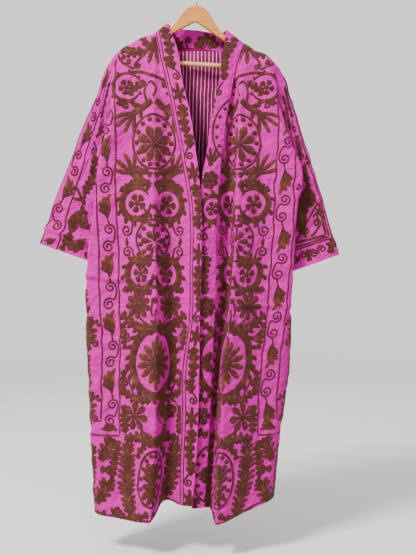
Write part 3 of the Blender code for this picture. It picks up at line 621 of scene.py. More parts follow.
# The bands and the collar: one straight strip, folded and stitched down twice along its
# seam. It faces each front and stands up behind the neck. The collar is cut to the neck.
LEFT_BAND_EDGE = (
    (-75, -14, -107), (-50, -19, -172), (-35, -34, -262), (-15, -47, -348), (-1, -58, -440),
    (4, -61, -475), (12.5, -69, -560), (14.5, -75, -740), (11, -76, -860), (9, -76, -1000),
    (4, -76, -1180), (-7, -76, -1342),
)
RIGHT_BAND_EDGE = (
    (79, -14, -124.6), (69.5, -19, -182), (58, -30, -270), (37.5, -42, -362), (29, -50, -440),
    (18.5, -57, -500), (7.5, -62, -600), (4.5, -65, -740), (2.5, -66, -860), (0, -66, -1000),
    (-4, -66, -1180), (-10, -66, -1350),
)
COLLAR_TOP = ((-75, 0, -107), (-62, 17, -112), (2, 26, -118), (66, 18, -127), (79, 0, -124.6))
BAND_CELLS = 9
BAND_CROWN = 2.0


def band_panel(front, edge, outward):
    """A front's band, from its seam to its free edge, a little rounded across."""
    edge = np.array(edge, float)
    heights = (edge[0, 2] - edge[:, 2]) / (edge[0, 2] - edge[-1, 2])
    seam = front.points[:, 0].copy()
    depths = (seam[0, 2] - seam[:, 2]) / (seam[0, 2] - seam[-1, 2])
    free = smooth_curve(heights, edge, depths)
    free[:, 1] *= round_over(free[0, 2] - free[:, 2])
    share = np.linspace(0.0, 1.0, BAND_CELLS + 1)[None, :, None]
    points = seam[:, None] + (free - seam)[:, None] * share
    points[1:, :, 1] -= BAND_CROWN * np.sin(math.pi * share[:, :, 0])
    return Panel(points, outward)


def collar_panel(back):
    """The collar behind the neck, from the neckline up to its top edge."""
    foot = back.points[0, NECK_START:NECK_END + 1]
    top = np.array(COLLAR_TOP, float)
    foot_places, top_places = run_lengths(foot), run_lengths(top)
    head = smooth_curve(top_places, top, foot_places / foot_places[-1] * top_places[-1])
    rise = np.linspace(1.0, 0.0, BAND_CELLS + 1)[:, None, None]
    return Panel(foot[None] + (head - foot)[None] * rise, 1, foot.shape[0] // 2)


band_left = band_panel(front_left, LEFT_BAND_EDGE, -1)
band_right = band_panel(front_right, RIGHT_BAND_EDGE, 1)
collar = collar_panel(back)
band_left.pucker(0.3, 5)
band_right.pucker(0.3, 6)


# The sleeves: wide straight tubes of the same cotton, folded along the top and closed with
# one seam below, hanging flat from the armholes with a few long folds. A row is a share of
# the way to the cuff, x and z of the top fold, x and z of the underarm, and half a thickness.
LEFT_SLEEVE = (
    (0.00, -195, -177, -206, -441, 14), (0.10, -226, -203, -222, -456, 11.5),
    (0.25, -255, -290, -223, -500, 10.5), (0.42, -291, -370, -220, -548, 10.5),
    (0.60, -326, -466, -219, -606, 10), (0.80, -366, -566, -217, -675, 9.5),
    (0.93, -393, -648, -215, -722, 9.5), (1.00, -407, -680, -214, -748, 10),
)
RIGHT_SLEEVE = (
    (0.00, 198, -204, 207, -441, 14), (0.10, 222, -228, 222, -460, 11.5),
    (0.25, 246, -300, 223, -506, 10.5), (0.42, 272, -384, 220, -556, 10.5),
    (0.60, 300, -475, 219, -614, 10), (0.80, 330, -568, 217, -690, 9.5),
    (0.93, 354, -655, 215, -742, 9.5), (1.00, 373, -708, 214, -765, 10),
)
SLEEVE_RINGS = 104
RING_SPACING = 0.9      # below 1 the rings lie closer together towards the cuff
FOLD_ROUND = 0.3        # the power that rounds a sleeve over its top fold and underarm
SLEEVE_THIN_UNDER = 0.35
SLEEVE_JOIN = 0.2
LEFT_SLEEVE_CREASES = (
    (-60, -468, 480, -468, 8.5, 8.5), (-60, -444, 480, -444, 12, -2.6), (22, -120, 50, -330, 9, 1.8),
    (96, -180, 70, -400, 10, -2.0), (150, -220, 120, -440, 9, 2.0), (190, -300, 160, -380, 9, -1.4),
    (330, -160, 350, -340, 10, 1.4), (290, -240, 300, -440, 10, -1.4),
)
RIGHT_SLEEVE_CREASES = (
    (-60, -472, 480, -472, 7, 1.8), (30, -110, 26, -400, 5, 2.4), (70, -160, 52, -420, 10, -1.6),
    (120, -200, 96, -450, 10, 1.4), (170, -260, 150, -430, 9, -1.2), (330, -160, 350, -340, 10, 1.4),
    (290, -240, 300, -440, 10, -1.4),
)


def sleeve_panel(table, front, back_edge, outward):
    """A sleeve from its armhole to its cuff, ring by ring. Each ring starts at the shoulder,
    runs down the front half to the underarm and comes up the back half."""
    table = np.array(table, float)
    front_edge = front.points[:ARMHOLE_FOOT + 1, -1]
    back_edge = back_edge[:ARMHOLE_FOOT + 1]
    armhole = np.vstack([front_edge, back_edge[-2::-1]])
    down = (front_edge[0, 2] - front_edge[:, 2]) / (front_edge[0, 2] - front_edge[-1, 2])
    down = np.concatenate([down, down[-2::-1]])[:, None]
    side = np.repeat([-1.0, 0.0, 1.0], [ARMHOLE_FOOT, 1, ARMHOLE_FOOT])
    rings = []
    for share in np.linspace(0.0, 1.0, SLEEVE_RINGS) ** RING_SPACING:
        outer_x, outer_z, inner_x, inner_z, thick = smooth_curve(table[:, 0], table[:, 1:], [share])[0]
        top, under = np.array([outer_x, 0.0, outer_z]), np.array([inner_x, 0.0, inner_z])
        ring = top + (under - top) * down
        bulge = (4 * down * (1 - down))[:, 0] ** FOLD_ROUND * (1 - SLEEVE_THIN_UNDER * down[:, 0])
        ring[:, 1] = side * thick * bulge
        join = np.clip(share / SLEEVE_JOIN, 0.0, 1.0)
        join = join * join * (3 - 2 * join)
        rings.append(armhole * (1 - join) + ring * join)
    rings = np.array(rings)
    top_run = table[-1, 1:3] - table[1, 1:3]
    top_run /= np.linalg.norm(top_run)
    sleeve = Panel(rings, outward, 0, (top_run[0], 0.0, top_run[1]), (table[1, 1], 0.0, table[1, 2]))
    close_tube(sleeve)
    return sleeve


def close_tube(sleeve):
    """The first and last columns are one line along the top of the sleeve."""
    seam = sleeve.facing[:, 0] + sleeve.facing[:, -1]
    seam /= np.linalg.norm(seam, axis=1)[:, None]
    sleeve.facing[:, 0] = sleeve.facing[:, -1] = seam
    sleeve.points[:, -1] = sleeve.points[:, 0]


def set_in(sleeve, front, back, back_column):
    """Sew a sleeve into its armhole: along the front, then along the back."""
    foot = ARMHOLE_FOOT
    sew(sleeve, (0, slice(1, foot)), front, (slice(1, foot), -1))
    sew(sleeve, (0, slice(2 * foot - 1, foot, -1)), back, (slice(1, foot), back_column))
    meet((sleeve, 0, foot), (front, foot, -1), (back, foot, back_column))
    meet((sleeve, 0, 0), (front, 0, -1), (back, 0, back_column))
    sleeve.points[:, -1] = sleeve.points[:, 0]
    sleeve.facing[:, -1] = sleeve.facing[:, 0]


sleeve_left = sleeve_panel(LEFT_SLEEVE, front_left, back.points[:, 0], -1)
sleeve_right = sleeve_panel(RIGHT_SLEEVE, front_right, back.points[:, -1], 1)
for sleeve, creases, seed in (
    (sleeve_left, LEFT_SLEEVE_CREASES, 31), (sleeve_right, RIGHT_SLEEVE_CREASES, 47),
):
    sleeve.crease(creases)
    sleeve.pucker(0.55, seed)
    close_tube(sleeve)

every, upwards, inside = slice(None), slice(None, None, -1), slice(1, -1)
below, neck = slice(ARMHOLE_FOOT + 1, None), slice(NECK_START + 1, NECK_END)
close_shoulders(back, (front_left, front_right))
set_in(sleeve_left, front_left, back, 0)
set_in(sleeve_right, front_right, back, -1)
sew(front_left, (below, -1), back, (below, 0))
sew(front_right, (below, -1), back, (below, -1))
sew(band_left, (every, 0), front_left, (every, 0))
sew(band_right, (every, 0), front_right, (every, 0))
sew(collar, (-1, inside), back, (0, neck))
for column, neck_end, front, band in (
    (0, NECK_START, front_left, band_left), (-1, NECK_END, front_right, band_right),
):
    sew(collar, (upwards, column), band, (0, every))
    meet((collar, -1, column), (back, 0, neck_end), (front, 0, 0), (band, 0, 0))

for name, panel, lining in (
    ("front_left", front_left, striped), ("front_right", front_right, striped), ("back", back, striped),
    ("band_left", band_left, orchid), ("band_right", band_right, orchid), ("collar_back", collar, orchid),
    ("sleeve_left", sleeve_left, striped), ("sleeve_right", sleeve_right, striped),
):
    cloth(name, panel, orchid, lining)


# The lining that shows behind the open front: narrow-striped cotton, slip-stitched below
# the neckline and hanging loose just inside the back.
LINING_LINES = (4, 6)
LINING_ROWS = (-170, -523)
LINING_WALL = 1.0
LINING_CLEAR = 0.6
lining_first, lining_last = (sum(BACK_CELLS[:line]) for line in LINING_LINES)
middle_heights = back.points[:, back.points.shape[1] // 2, 2]
lining_rows = [int(np.argmin(np.abs(middle_heights - height))) for height in LINING_ROWS]
hanging = back.inner(WALL + LINING_CLEAR)[lining_rows[0]:lining_rows[1] + 1, lining_first:lining_last + 1]
lining_panel = Panel(hanging, 1, hanging.shape[1] // 2)
cloth("lining_back", lining_panel, striped, striped, LINING_WALL)


# The embroidery: thick brown wool in rows of chain stitch, worked with a hook through the
# cotton before it is cut. A place in the flat cloth is one number, across + down * 1j, in
# millimetres; on a front, across is counted from its ridge towards the side seam.
WOOL_HIGH = 1.0         # mm above the cloth, where a stroke is wide enough
WOOL_SUNK = 0.2         # mm that its rim goes into the cloth
FULL_HALF = 1.6         # half width in mm from which a stroke has its full height
HEAVY_HALF = 7.0        # half width in mm from which it has more cells across
ROW_WIDE, LINK_LONG = 0.0030, 0.0046
BORDER_REPEAT = 148

wool = Finish("brown wool", 0.7, Sheen_Weight=0.08, Sheen_Roughness=0.35,
              Sheen_Tint=(0.9, 0.6, 0.3, 1), Specular_IOR_Level=0.2)
stitch_at = wool.node("UVMap", uv_map="stitches")
row_number = wool.reckon("MULTIPLY", wool.node("SeparateXYZ", stitch_at, out="Y"), 1 / ROW_WIDE)
half_step = wool.reckon("MULTIPLY", wool.reckon("ROUND", row_number), 0.5)
run_at = wool.node("SeparateXYZ", stitch_at, out="X")
link_number = wool.reckon("MULTIPLY_ADD", run_at, 1 / LINK_LONG, half_step)
# The chain stitch's relief: a low groove between its rows and between its links, with the loops raised. The
# same relief darkens the colour in the grooves, as painted shade.
row_groove_and_shade = wool.reckon("MULTIPLY", wool.reckon("PINGPONG", row_number, 0.5), -1.6)
loop = wool.reckon("MULTIPLY_ADD", wool.reckon("PINGPONG", link_number, 0.5), 0.7, row_groove_and_shade)
hair = wool.noise(stitch_at, 1.0, 4, 0.65, (260, 1500, 1))
shade = wool.reckon("MULTIPLY_ADD", hair, 0.55, wool.noise(stitch_at, 34, 4, 0.6))
# Colour: the wool's own uneven tone, plus painted shade in the grooves between the stitches and a painted
# highlight on the raised loops, taken from the same relief as the bump.
colour = wool.ramp(
    wool.reckon("MULTIPLY_ADD", loop, 0.42, shade), (0.42, 0.017, 0.0027, 0.0025),
    (0.66, 0.057, 0.0102, 0.0063), (0.86, 0.112, 0.0245, 0.0128), (1.0, 0.25, 0.083, 0.035))
wool.dress(colour, wool.reckon("MULTIPLY_ADD", hair, 0.35, loop), 0.9, 0.0016)


class Chart:
    """Finds the point and the facing of any place in a panel's flat cloth."""
    DOWN_STEP, ACROSS_STEP = 3.0, 2.0

    def __init__(self, panel, columns=None, away=None, side=1):
        columns = np.arange(panel.points.shape[1]) if columns is None else columns
        away = panel.across if away is None else away
        points = (panel.points if side > 0 else panel.inner(WALL))[:, columns]
        self.turned = panel.outward * side < 0
        down = panel.down[:, columns]
        known = np.concatenate([away[:, :, None], points, panel.facing[:, columns] * side], axis=2)
        self.downs = np.arange(down.min(), down.max() + self.DOWN_STEP, self.DOWN_STEP)
        level = np.stack([
            np.stack([np.interp(self.downs, down[:, c], known[:, c, k]) for k in range(7)], axis=1)
            for c in range(len(columns))], axis=1)
        self.places = np.arange(away.min(), away.max() + self.ACROSS_STEP, self.ACROSS_STEP)
        self.grid = np.stack([
            np.stack([np.interp(self.places, row[:, 0], row[:, k]) for k in range(1, 7)], axis=1)
            for row in level])
        self.left, self.right = level[:, 0, 0], level[:, -1, 0]
        self.top, self.foot = (away[0], down[0]), (away[-1], down[-1])

    def find(self, flat):
        """Point and facing at each place, and whether the place is on the cloth at all."""
        off, low = flat.real, flat.imag
        left, right = np.interp(low, self.downs, self.left), np.interp(low, self.downs, self.right)
        outside = ((off < left) | (off > right)
                   | (low < np.interp(off, *self.top)) | (low > np.interp(off, *self.foot)))
        off = np.clip(off, left, right)
        low = np.clip(low, np.interp(off, *self.top), np.interp(off, *self.foot))
        row = np.clip((low - self.downs[0]) / self.DOWN_STEP, 0, len(self.downs) - 1.001)
        column = np.clip((off - self.places[0]) / self.ACROSS_STEP, 0, len(self.places) - 1.001)
        r, c = row.astype(int), column.astype(int)
        u, v = (row - r)[..., None], (column - c)[..., None]
        known = ((self.grid[r, c] * (1 - v) + self.grid[r, c + 1] * v) * (1 - u)
                 + (self.grid[r + 1, c] * (1 - v) + self.grid[r + 1, c + 1] * v) * u)
        return known[..., :3], known[..., 3:], outside


def by_hand(flat, phase):
    """Nothing drawn by hand is quite straight: each place strays by a millimetre or two."""
    off, down = flat.real, flat.imag
    aside = 1.2 * np.sin(down / 41 + phase[0]) + 0.8 * np.sin(off / 29 + down / 67 + phase[1])
    lower = 1.3 * np.sin(off / 37 + phase[2]) + 1.0 * np.sin(down / 31 - off / 53 + phase[3])
    return flat + aside + 1j * lower


def stitch(name, strokes, chart, seed, plump=1.0):
    """Lay every stroke on the cloth as a low rounded band of stitches, all in one piece. One
    long grid is laid stroke after stroke, then cut where one ends and the next begins. The
    heavy strokes are laid after the others, with more cells across. A stroke is its middle
    line in the flat cloth and its half width along it; plump scales every width."""
    phase = np.random.default_rng(seed).uniform(0, 6.28, 4)
    work = bmesh.new()
    waste, stitch_places = [], []
    strokes = [(line, half * plump) for line, half in strokes]
    for cells, heavy in ((4, False), (6, True)):
        chosen = [stroke for stroke in strokes if (stroke[1].max() >= HEAVY_HALF) == heavy]
        if not chosen:
            continue
        side = np.sin(np.linspace(-1, 1, cells + 1) * math.pi / 2)[:, None]
        flat, run, off, rise = [], [], [], []
        for line, half in chosen:
            heading = np.gradient(line)
            flat.append(line + 1j * heading / np.maximum(abs(heading), 0.001) * half * side)
            run.append(run_lengths(line) + 0 * side)
            off.append(half * side)
            lift = (1 - side ** 6) * np.clip(half / FULL_HALF, 0.5, 1.0) * WOOL_HIGH
            lift[:, (0, -1)] = lift[(0, -1), :] = -WOOL_SUNK
            rise.append(lift)
        cuts = set(np.cumsum([len(stroke[0]) for stroke in chosen]) - 1)
        flat, run, off, rise = (np.concatenate(part, axis=1) for part in (flat, run, off, rise))
        point, facing, outside = chart.find(by_hand(flat, phase))
        total, first = flat.shape[1], len(work.verts)
        laid = bmesh.ops.create_grid(work, x_segments=total - 1, y_segments=cells, size=1.0)["verts"]
        for vert, place in zip(laid, ((point + facing * rise[:, :, None]) * MM).reshape(-1, 3)):
            vert.co = place
        work.verts.index_update()
        outside = outside.reshape(-1)
        for face in {face for vert in laid for face in vert.link_faces}:
            corners = [vert.index - first for vert in face.verts]
            if outside[corners].all() or min(corner % total for corner in corners) in cuts:
                waste.append(face)
        stitch_places.append(np.stack([run, off], axis=2).reshape(-1, 2) * MM)
    stitch_places = np.concatenate(stitch_places)
    rows = work.loops.layers.uv.new("stitches")
    for face in work.faces:
        for corner in face.loops:
            corner[rows].uv = stitch_places[corner.vert.index]
    bmesh.ops.delete(work, geom=waste, context="FACES")
    bmesh.ops.dissolve_degenerate(work, dist=0.00001, edges=work.edges)
    if chart.turned:
        bmesh.ops.reverse_faces(work, faces=work.faces)
    piece = object_of(name, work, wool)
    piece.data.shade_smooth()
    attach(piece, "root")


def curve(*knots, step=3.0):
    """A smooth line through its places in the flat cloth."""
    knots = np.array(knots, complex)
    run = run_lengths(knots)
    at = np.linspace(0, run[-1], max(int(run[-1] / step), 6))
    flat = smooth_curve(run, np.stack([knots.real, knots.imag], axis=1), at)
    return flat[:, 0] + 1j * flat[:, 1]


def bow(start, end, bend=0.0, step=4.0):
    """A line that bends aside by a share of its length."""
    return curve(start, (start + end) / 2 + bend * 1j * (end - start), end, step=step)


def stem(*knots, half=3.0):
    line = curve(*knots)
    return [(line, np.full(len(line), half))]


def scroll(root, centre, radius, way=1, turns=1.45, half=2.8):
    """A tendril from its root that meets a circle and winds inwards to a curled tip."""
    away = root - centre
    start = np.angle(away) + way * math.acos(min(radius / abs(away), 1.0))
    arrive = centre + radius * np.exp(1j * start)
    heading = arrive - root
    sense = np.sign((np.conj(arrive - centre) * heading).imag)
    lead = np.linspace(0, 1, max(int(abs(heading) / 4), 3))[:-1]
    lead = root + heading * lead - 0.5j * sense * heading * lead * (1 - lead) ** 2
    share = np.linspace(0, 1, 24)
    coil = centre + radius * (1 - 0.86 * share) * np.exp(1j * (start + sense * 2 * math.pi * turns * share))
    line = np.concatenate([lead, coil])
    width = np.full(len(line), half)
    width[-4:] *= (1.1, 1.3, 1.3, 0.8)
    return [(line, width)]


def petal(start, end, half, belly=0.62):
    """A filled drop, widest at its belly, with a rounded end."""
    line = bow(start, end, step=3.5)
    share = np.linspace(0, 1, len(line))
    width = 1.2 * half * np.sin(math.pi * share ** (math.log(0.5) / math.log(belly))) ** 0.6
    return [(line, np.maximum(width, 0.5))]


def finger(start, end, half, bend=0.0):
    """A plump stroke that keeps its width up to a round end."""
    line = bow(start, end, bend)
    share = np.linspace(0, 1, len(line)) ** 0.8
    return [(line, half * (0.7 + 0.3 * share) * np.sqrt(1 - np.clip((share - 0.72) / 0.28, 0, 0.99) ** 2))]


def leaf(start, end, half, bend=0.0, spacing=14):
    """A feathery leaf: a thick rib with round fingers in pairs, all leaning to its tip."""
    line = bow(start, end, bend)
    swell = np.sin(math.pi * (0.20 + 0.66 * np.linspace(0, 1, len(line)))) ** 0.6
    strokes = [(line, (0.34 * half + 2.6) * swell)]
    pairs = max(int(round(abs(end - start) / spacing)), 2)
    for k in range(pairs):
        at = int((k + 0.3) / pairs * (len(line) - 1))
        ahead = line[at + 1] - line[at]
        ahead /= abs(ahead)
        for lean in (0.82, -0.82):
            tip = line[at] + (1.3 * half * swell[at] + 3) * ahead * np.exp(1j * lean)
            strokes += finger(line[at], tip, 0.42 * spacing, -0.12 * np.sign(lean))
    return strokes + finger(line[-3], end + 0.35 * half * ahead, 0.40 * spacing)


def disc(centre, radius):
    place = -np.cos(np.linspace(0, math.pi, 9))
    return [(centre + radius * place, np.maximum(radius * np.sqrt(np.maximum(1 - place ** 2, 0)), 0.4))]


def ring(centre, wide, high, half, start=0.0, sweep=1.0, lobes=0):
    """An oval line, or an arc of one that thins to its ends, with leaning round lobes outside
    if asked. Start and sweep are in turns, from the across direction to the down direction."""
    count = max(int((wide + high) * math.pi * abs(sweep) / 5), 12)
    share = np.linspace(0, 1, count)
    angle = 2 * math.pi * (start + (sweep if abs(sweep) < 1 else 1.03 * sweep) * share)
    line = centre + wide * np.cos(angle) + 1j * high * np.sin(angle)
    width = np.full(count, half)
    if abs(sweep) < 1:
        width = half * np.clip(np.sin(math.pi * share) ** 0.5, 0.25, 1)
    strokes = [(line, width)]
    for k in range(lobes):
        at = int((k + 0.5) / lobes * count)
        out = np.exp(1j * angle[at]) * (1 + 0.7j * np.sign(sweep))
        strokes += finger(line[at], line[at] + (1.0 * half + 1.1 * width[at]) * out, 0.46 * half + 1.8, -0.12)
    return strokes


def dots(centre, wide, high, count, radius, start=0.0):
    angles = 2 * math.pi * (start + np.arange(count) / count)
    return [disc(centre + wide * math.cos(a) + 1j * high * math.sin(a), radius)[0] for a in angles]


def fan(root, reach, toward, spread, count, half):
    """Petals spread like a hand from one root. Angles are in degrees: 90 points down."""
    strokes = []
    for share in np.linspace(-0.5, 0.5, count):
        turn = np.exp(1j * math.radians(toward + spread * share))
        strokes += petal(root + 3 * turn, root + reach * (1 - 0.3 * abs(share)) * turn, half, 0.72)
    return strokes


def rosette(centre, reach, count, half, turn=0.0):
    """A flower of round petals about a small middle."""
    strokes = disc(centre, reach * 0.26)
    for k in range(count):
        out = np.exp(1j * math.radians(turn + 360 * k / count))
        strokes += petal(centre + 2 * out, centre + reach * out, half, 0.7)
    return strokes


def hand(root, palm, reach, toward, spread, count, half):
    """A thick stem that opens into long fingers, as on a palm leaf, with two on the way."""
    middle = (root + palm) / 2
    ahead = (palm - root) / abs(palm - root)
    strokes = stem(root, middle + 3 * ahead * 1j, palm, half=half * 1.25)
    for lean in (0.9, -0.9):
        tip = middle + 0.55 * reach * ahead * np.exp(1j * lean)
        strokes += finger(middle, tip, half * 0.9, -0.1 * np.sign(lean))
    for share in np.linspace(-0.5, 0.5, count):
        tip = palm + reach * (1 - 0.3 * abs(share)) * np.exp(1j * math.radians(toward + spread * share))
        strokes += finger(palm - 4 * ahead, tip, half * 0.9, 0.1 * share)
    return strokes


def bud(root, tip, half):
    """A tulip bud: round lobes down one side of its cup and a long tip on the other."""
    up = tip - root
    strokes = petal(root, root + up * 0.86, half * 0.37, 0.64)
    strokes += finger(root + up * 0.3, tip - up * 0.17j, half * 0.24, 0.14)
    for rise, out in ((0.90, 0.10), (0.74, 0.26), (0.50, 0.28)):
        strokes += petal(root + up * 0.1, root + up * (rise + out * 1j), half * 0.25, 0.80)
    return strokes


def moved(strokes, by, flip=1, over=1):
    """The same strokes set elsewhere, mirrored across by flip or upside down by over."""
    return [(line.real * flip + 1j * line.imag * over + by, half) for line, half in strokes]


def twin_scroll(first, second, radius, half=2.4):
    """One tendril with a coil at each end, like a slack letter S."""
    share = np.linspace(0, 1, 15)
    wind = radius * (1 - 0.84 * share) * np.exp(-2j * math.pi * 1.5 * share)
    between = [first + radius * (1.02 + 0.5j), second + radius * (0.72 - 0.80j)]
    return stem(*(first + wind)[::-1], *between, *(second - 1j * wind), half=half)


def flower_column():
    """The main column of flowers, from the shoulder to the hem, about its middle line."""
    strokes = (
        hand(2+148j, 3+172j, 52, 90, 92, 4, 7.2) + scroll(30+200j, 44+224j, 9, 1)
        + stem(66+243j, 40+240j, 8+249j, -30+262j, -62+288j, half=4.6)
        + stem(19+322j, 23+286j, 9+266j, -6+284j, 2+308j, half=3.4)
        + ring(424j, 60, 70, 3.4) + dots(424j, 49, 59, 14, 6.8) + rosette(429j, 50, 8, 9.8, 22)
        + ring(675j, 50, 52, 3.3) + dots(675j, 40, 42, 12, 6.6, 0.04)
        + stem(680j, 1+650j, 636j, half=2.8) + disc(-4+636j, 5) + disc(4+636j, 5)
        + scroll(10+866j, 2+826j, 8, -1) + stem(845j, 4+866j, 892j, half=2.6)
        + ring(980j, 68, 84, 10.5, lobes=24) + rosette(981j, 55, 12, 7.0, 12) + disc(981j, 20)
        + petal(980j, 912j, 6, 0.6) + petal(984j, 1052j, 6, 0.6)
        + ring(1272j, 43, 70, 3.4) + dots(1272j, 33, 60, 14, 6.2)
        + leaf(1332j, 1240j, 28, 0, 19)
        + rosette(58+1118j, 38, 7, 8.2, 15) + stem(50+1140j, 36+1156j, 8+1166j, half=4)
        + ring(-46+1104j, 38, 36, 4.2, 0.45, 0.72) + fan(-46+1086j, 46, 82, 124, 5, 9)
        + scroll(-74+1118j, -44+1146j, 12, 1)
    )
    half = (
        leaf(26+186j, 94+172j, 15, 0.14) + leaf(22+172j, 44+140j, 12, -0.1)
        + stem(100+192j, 86+214j, 54+233j, half=3.6) + scroll(95+202j, 82+200j, 6, 1)
        + scroll(82+217j, 68+212j, 6, 1)
        + rosette(74+279j, 22, 5, 7.4, 10) + ring(72+279j, 38, 36, 5.2, -0.44, 0.90, 8)
        + leaf(66+300j, 24+268j, 11, 0.1) + hand(4+316j, 60+350j, 58, 52, 80, 4, 7.2)
        + scroll(30+336j, 74+328j, 12, 1, 0.9, 3.8) + leaf(66+316j, 98+322j, 8)
        + hand(4+540j, 60+500j, 58, -52, 80, 4, 7.2) + scroll(30+506j, 44+492j, 8, -1)
        + leaf(2+534j, 88+546j, 12, -0.12) + leaf(4+512j, 30+496j, 9)
        + rosette(46+581j, 26, 5, 8.2, 8) + ring(48+581j, 40, 40, 9, -0.42, 0.92, 11)
        + stem(26+594j, 14+610j, 2+622j, half=3) + leaf(10+624j, 70+618j, 8)
        + scroll(62+626j, 78+647j, 15, -1) + scroll(60+728j, 79+703j, 15, 1)
        + petal(80+664j, 80+690j, 4.4)
        + fan(0+679j, 38, -6, 100, 3, 6.8) + petal(2+688j, 12+720j, 3.6)
        + leaf(6+734j, 66+722j, 10, 0.1)
        + rosette(40+760j, 24, 5, 8.0, 60) + ring(42+760j, 38, 38, 9, -0.38, 0.88, 10)
        + leaf(10+806j, 92+800j, 9, -0.1)
        + rosette(50+838j, 37, 9, 6.8, 5) + disc(50+838j, 14)
        + stem(52+862j, 36+880j, 4+896j) + leaf(2+902j, 96+862j, 17, 0.14)
        + scroll(40+896j, 86+918j, 13, -1) + leaf(90+950j, 98+884j, 8)
        + leaf(92+1000j, 98+1062j, 9) + leaf(12+1076j, 96+1054j, 12, 0.12)
        + scroll(66+1062j, 84+1034j, 9, 1) + leaf(92+1090j, 90+1160j, 11)
        + leaf(4+1186j, 88+1178j, 14, -0.14) + fan(1+1196j, 40, -62, 60, 3, 6)
        + leaf(54+1372j, 78+1194j, 26, 0.06) + leaf(6+1358j, 62+1372j, 11, 0.1)
        + leaf(60+1382j, 104+1356j, 11, 0.1) + leaf(48+1222j, 28+1190j, 9, 0.1)
    )
    return strokes + half + moved(half, 0, -1)


def scroll_border(middle, half_width, top, count, over=1):
    """A strip of tulip buds with a twin tendril between each and the next, top down."""
    reach = half_width * 0.62
    unit = (
        bud(-1+68j, -2j, half_width) + stem(-1+66j, -3+71j, -3 + 90j - 1j * reach, half=2.4)
        + moved(twin_scroll(3+90j, -2+132j, reach), 0, -1)
    )
    strokes = []
    for k in range(count):
        low = top + BORDER_REPEAT * (k if over > 0 else k + 1)
        strokes += moved(unit, middle + low * 1j, 1, over)
    return strokes


def leaf_strip(middle, top, foot, half):
    """A loose vine of feathery leaves, each with a small tendril beside it."""
    strokes, low, side = [], top, 1
    while low < foot - 50:
        at = middle + low * 1j
        strokes += leaf(at - side * 6 + 84j, at + side * 7, half, side * 0.08)
        strokes += scroll(at - side * 6 + 84j, at + side * half * 1.15 + 62j, half * 0.55, side)
        strokes += fan(at + side * half * 1.2 + 18j, 20, 270 + 30 * side, 90, 3, 4)
        low, side = low + 96, -side
    return strokes


def front_embroidery(over):
    """A front's whole drawing: the column, a scroll border beside it and the side strip."""
    lines = (stem(104+205j, 104+640j, 105+1168j, half=2.1)
             + stem(105+1170j, 180+1169j, 250+1170j, half=2.1)
             + stem(153+225j, 154+640j, 153+1130j, half=2.1)
             + stem(153+1132j, 200+1131j, 250+1132j, half=2.1))
    corner = (
        bud(156+1152j, 112+1150j, 18) + leaf(152+1236j, 122+1184j, 25, 0, 15)
        + leaf(152+1256j, 122+1256j, 11) + leaf(156+1346j, 128+1292j, 25, 0, 15)
        + scroll(112+1352j, 100+1366j, 8, 1) + leaf(118+1290j, 104+1196j, 11, 0.06)
        + leaf(170+1352j, 176+1200j, 19, 0.06)
        + leaf(206+1350j, 204+1196j, 18) + scroll(186+1300j, 192+1322j, 10, -1)
        + leaf(240+1196j, 242+1350j, 16, 0.04) + leaf(126+1368j, 196+1362j, 10, 0.1)
    )
    return (flower_column() + scroll_border(128, 23, 259, 6, over)
            + leaf_strip(200, 240, 770, 20) + leaf_strip(195, 776, 1124, 20) + lines + corner)


def hem_stitches(panel, above=5, knots=15):
    """A row of stitches that holds the turned hem, close above its edge."""
    places = np.linspace(0, panel.points.shape[1] - 1, knots).astype(int)
    return stem(*panel.across[-1, places] + 1j * (panel.down[-1, places] - above), half=2.2)


for name, front, over, seed, plump in (
    ("wool_front_left", front_left, 1, 11, 1.08), ("wool_front_right", front_right, -1, 23, 0.97),
):
    stitch(name, front_embroidery(over) + hem_stitches(front), Chart(front), seed, plump)

# The same drawing covers the back in two mirrored columns with a scroll border between.
drawn_back = scroll_border(0, 21, 190, 8)
for side in (1, -1):
    drawn_back += moved(flower_column(), side * 126, side)
for side in (-1, 1):
    drawn_back += stem(side * 23 + 180j, side * 23 + 700j, side * 23 + 1372j, half=2.1)
    drawn_back += stem(side * 230 + 190j, side * 231 + 700j, side * 230 + 1372j, half=2.1)
    drawn_back += leaf_strip(side * 254, 470, 1330, 15)
stitch("wool_back", drawn_back + hem_stitches(back), Chart(back), 37)


# The left band carries a narrow vine of lobed leaves beside two lines along its seam. On the
# right band the flowers of the front run on, as far as its free edge.
def band_vine(top, foot):
    strokes = stem(2.6+110j, 2.6+700j, 2.6+1352j, half=1.6) + stem(11+110j, 11+700j, 11+1352j, half=1.6)
    low, side = top, 1
    while low < foot - 30:
        at = 28 + low * 1j
        strokes += leaf(at + 76j, at - side * 3, 15, side * 0.06, 19)
        strokes += leaf(at + 112j, at - side * 6 + 80j, 15, 0, 17)
        strokes += scroll(at + 108j, at + side * 3 + 128j, 11, side)
        strokes += hand(at + 182j, at + 172j, 28, 270, 100, 3, 6.4)
        strokes += hand(at + 164j, at + 176j, 26, 90, 90, 3, 6.4)
        low, side = low + 206, -side
    return strokes


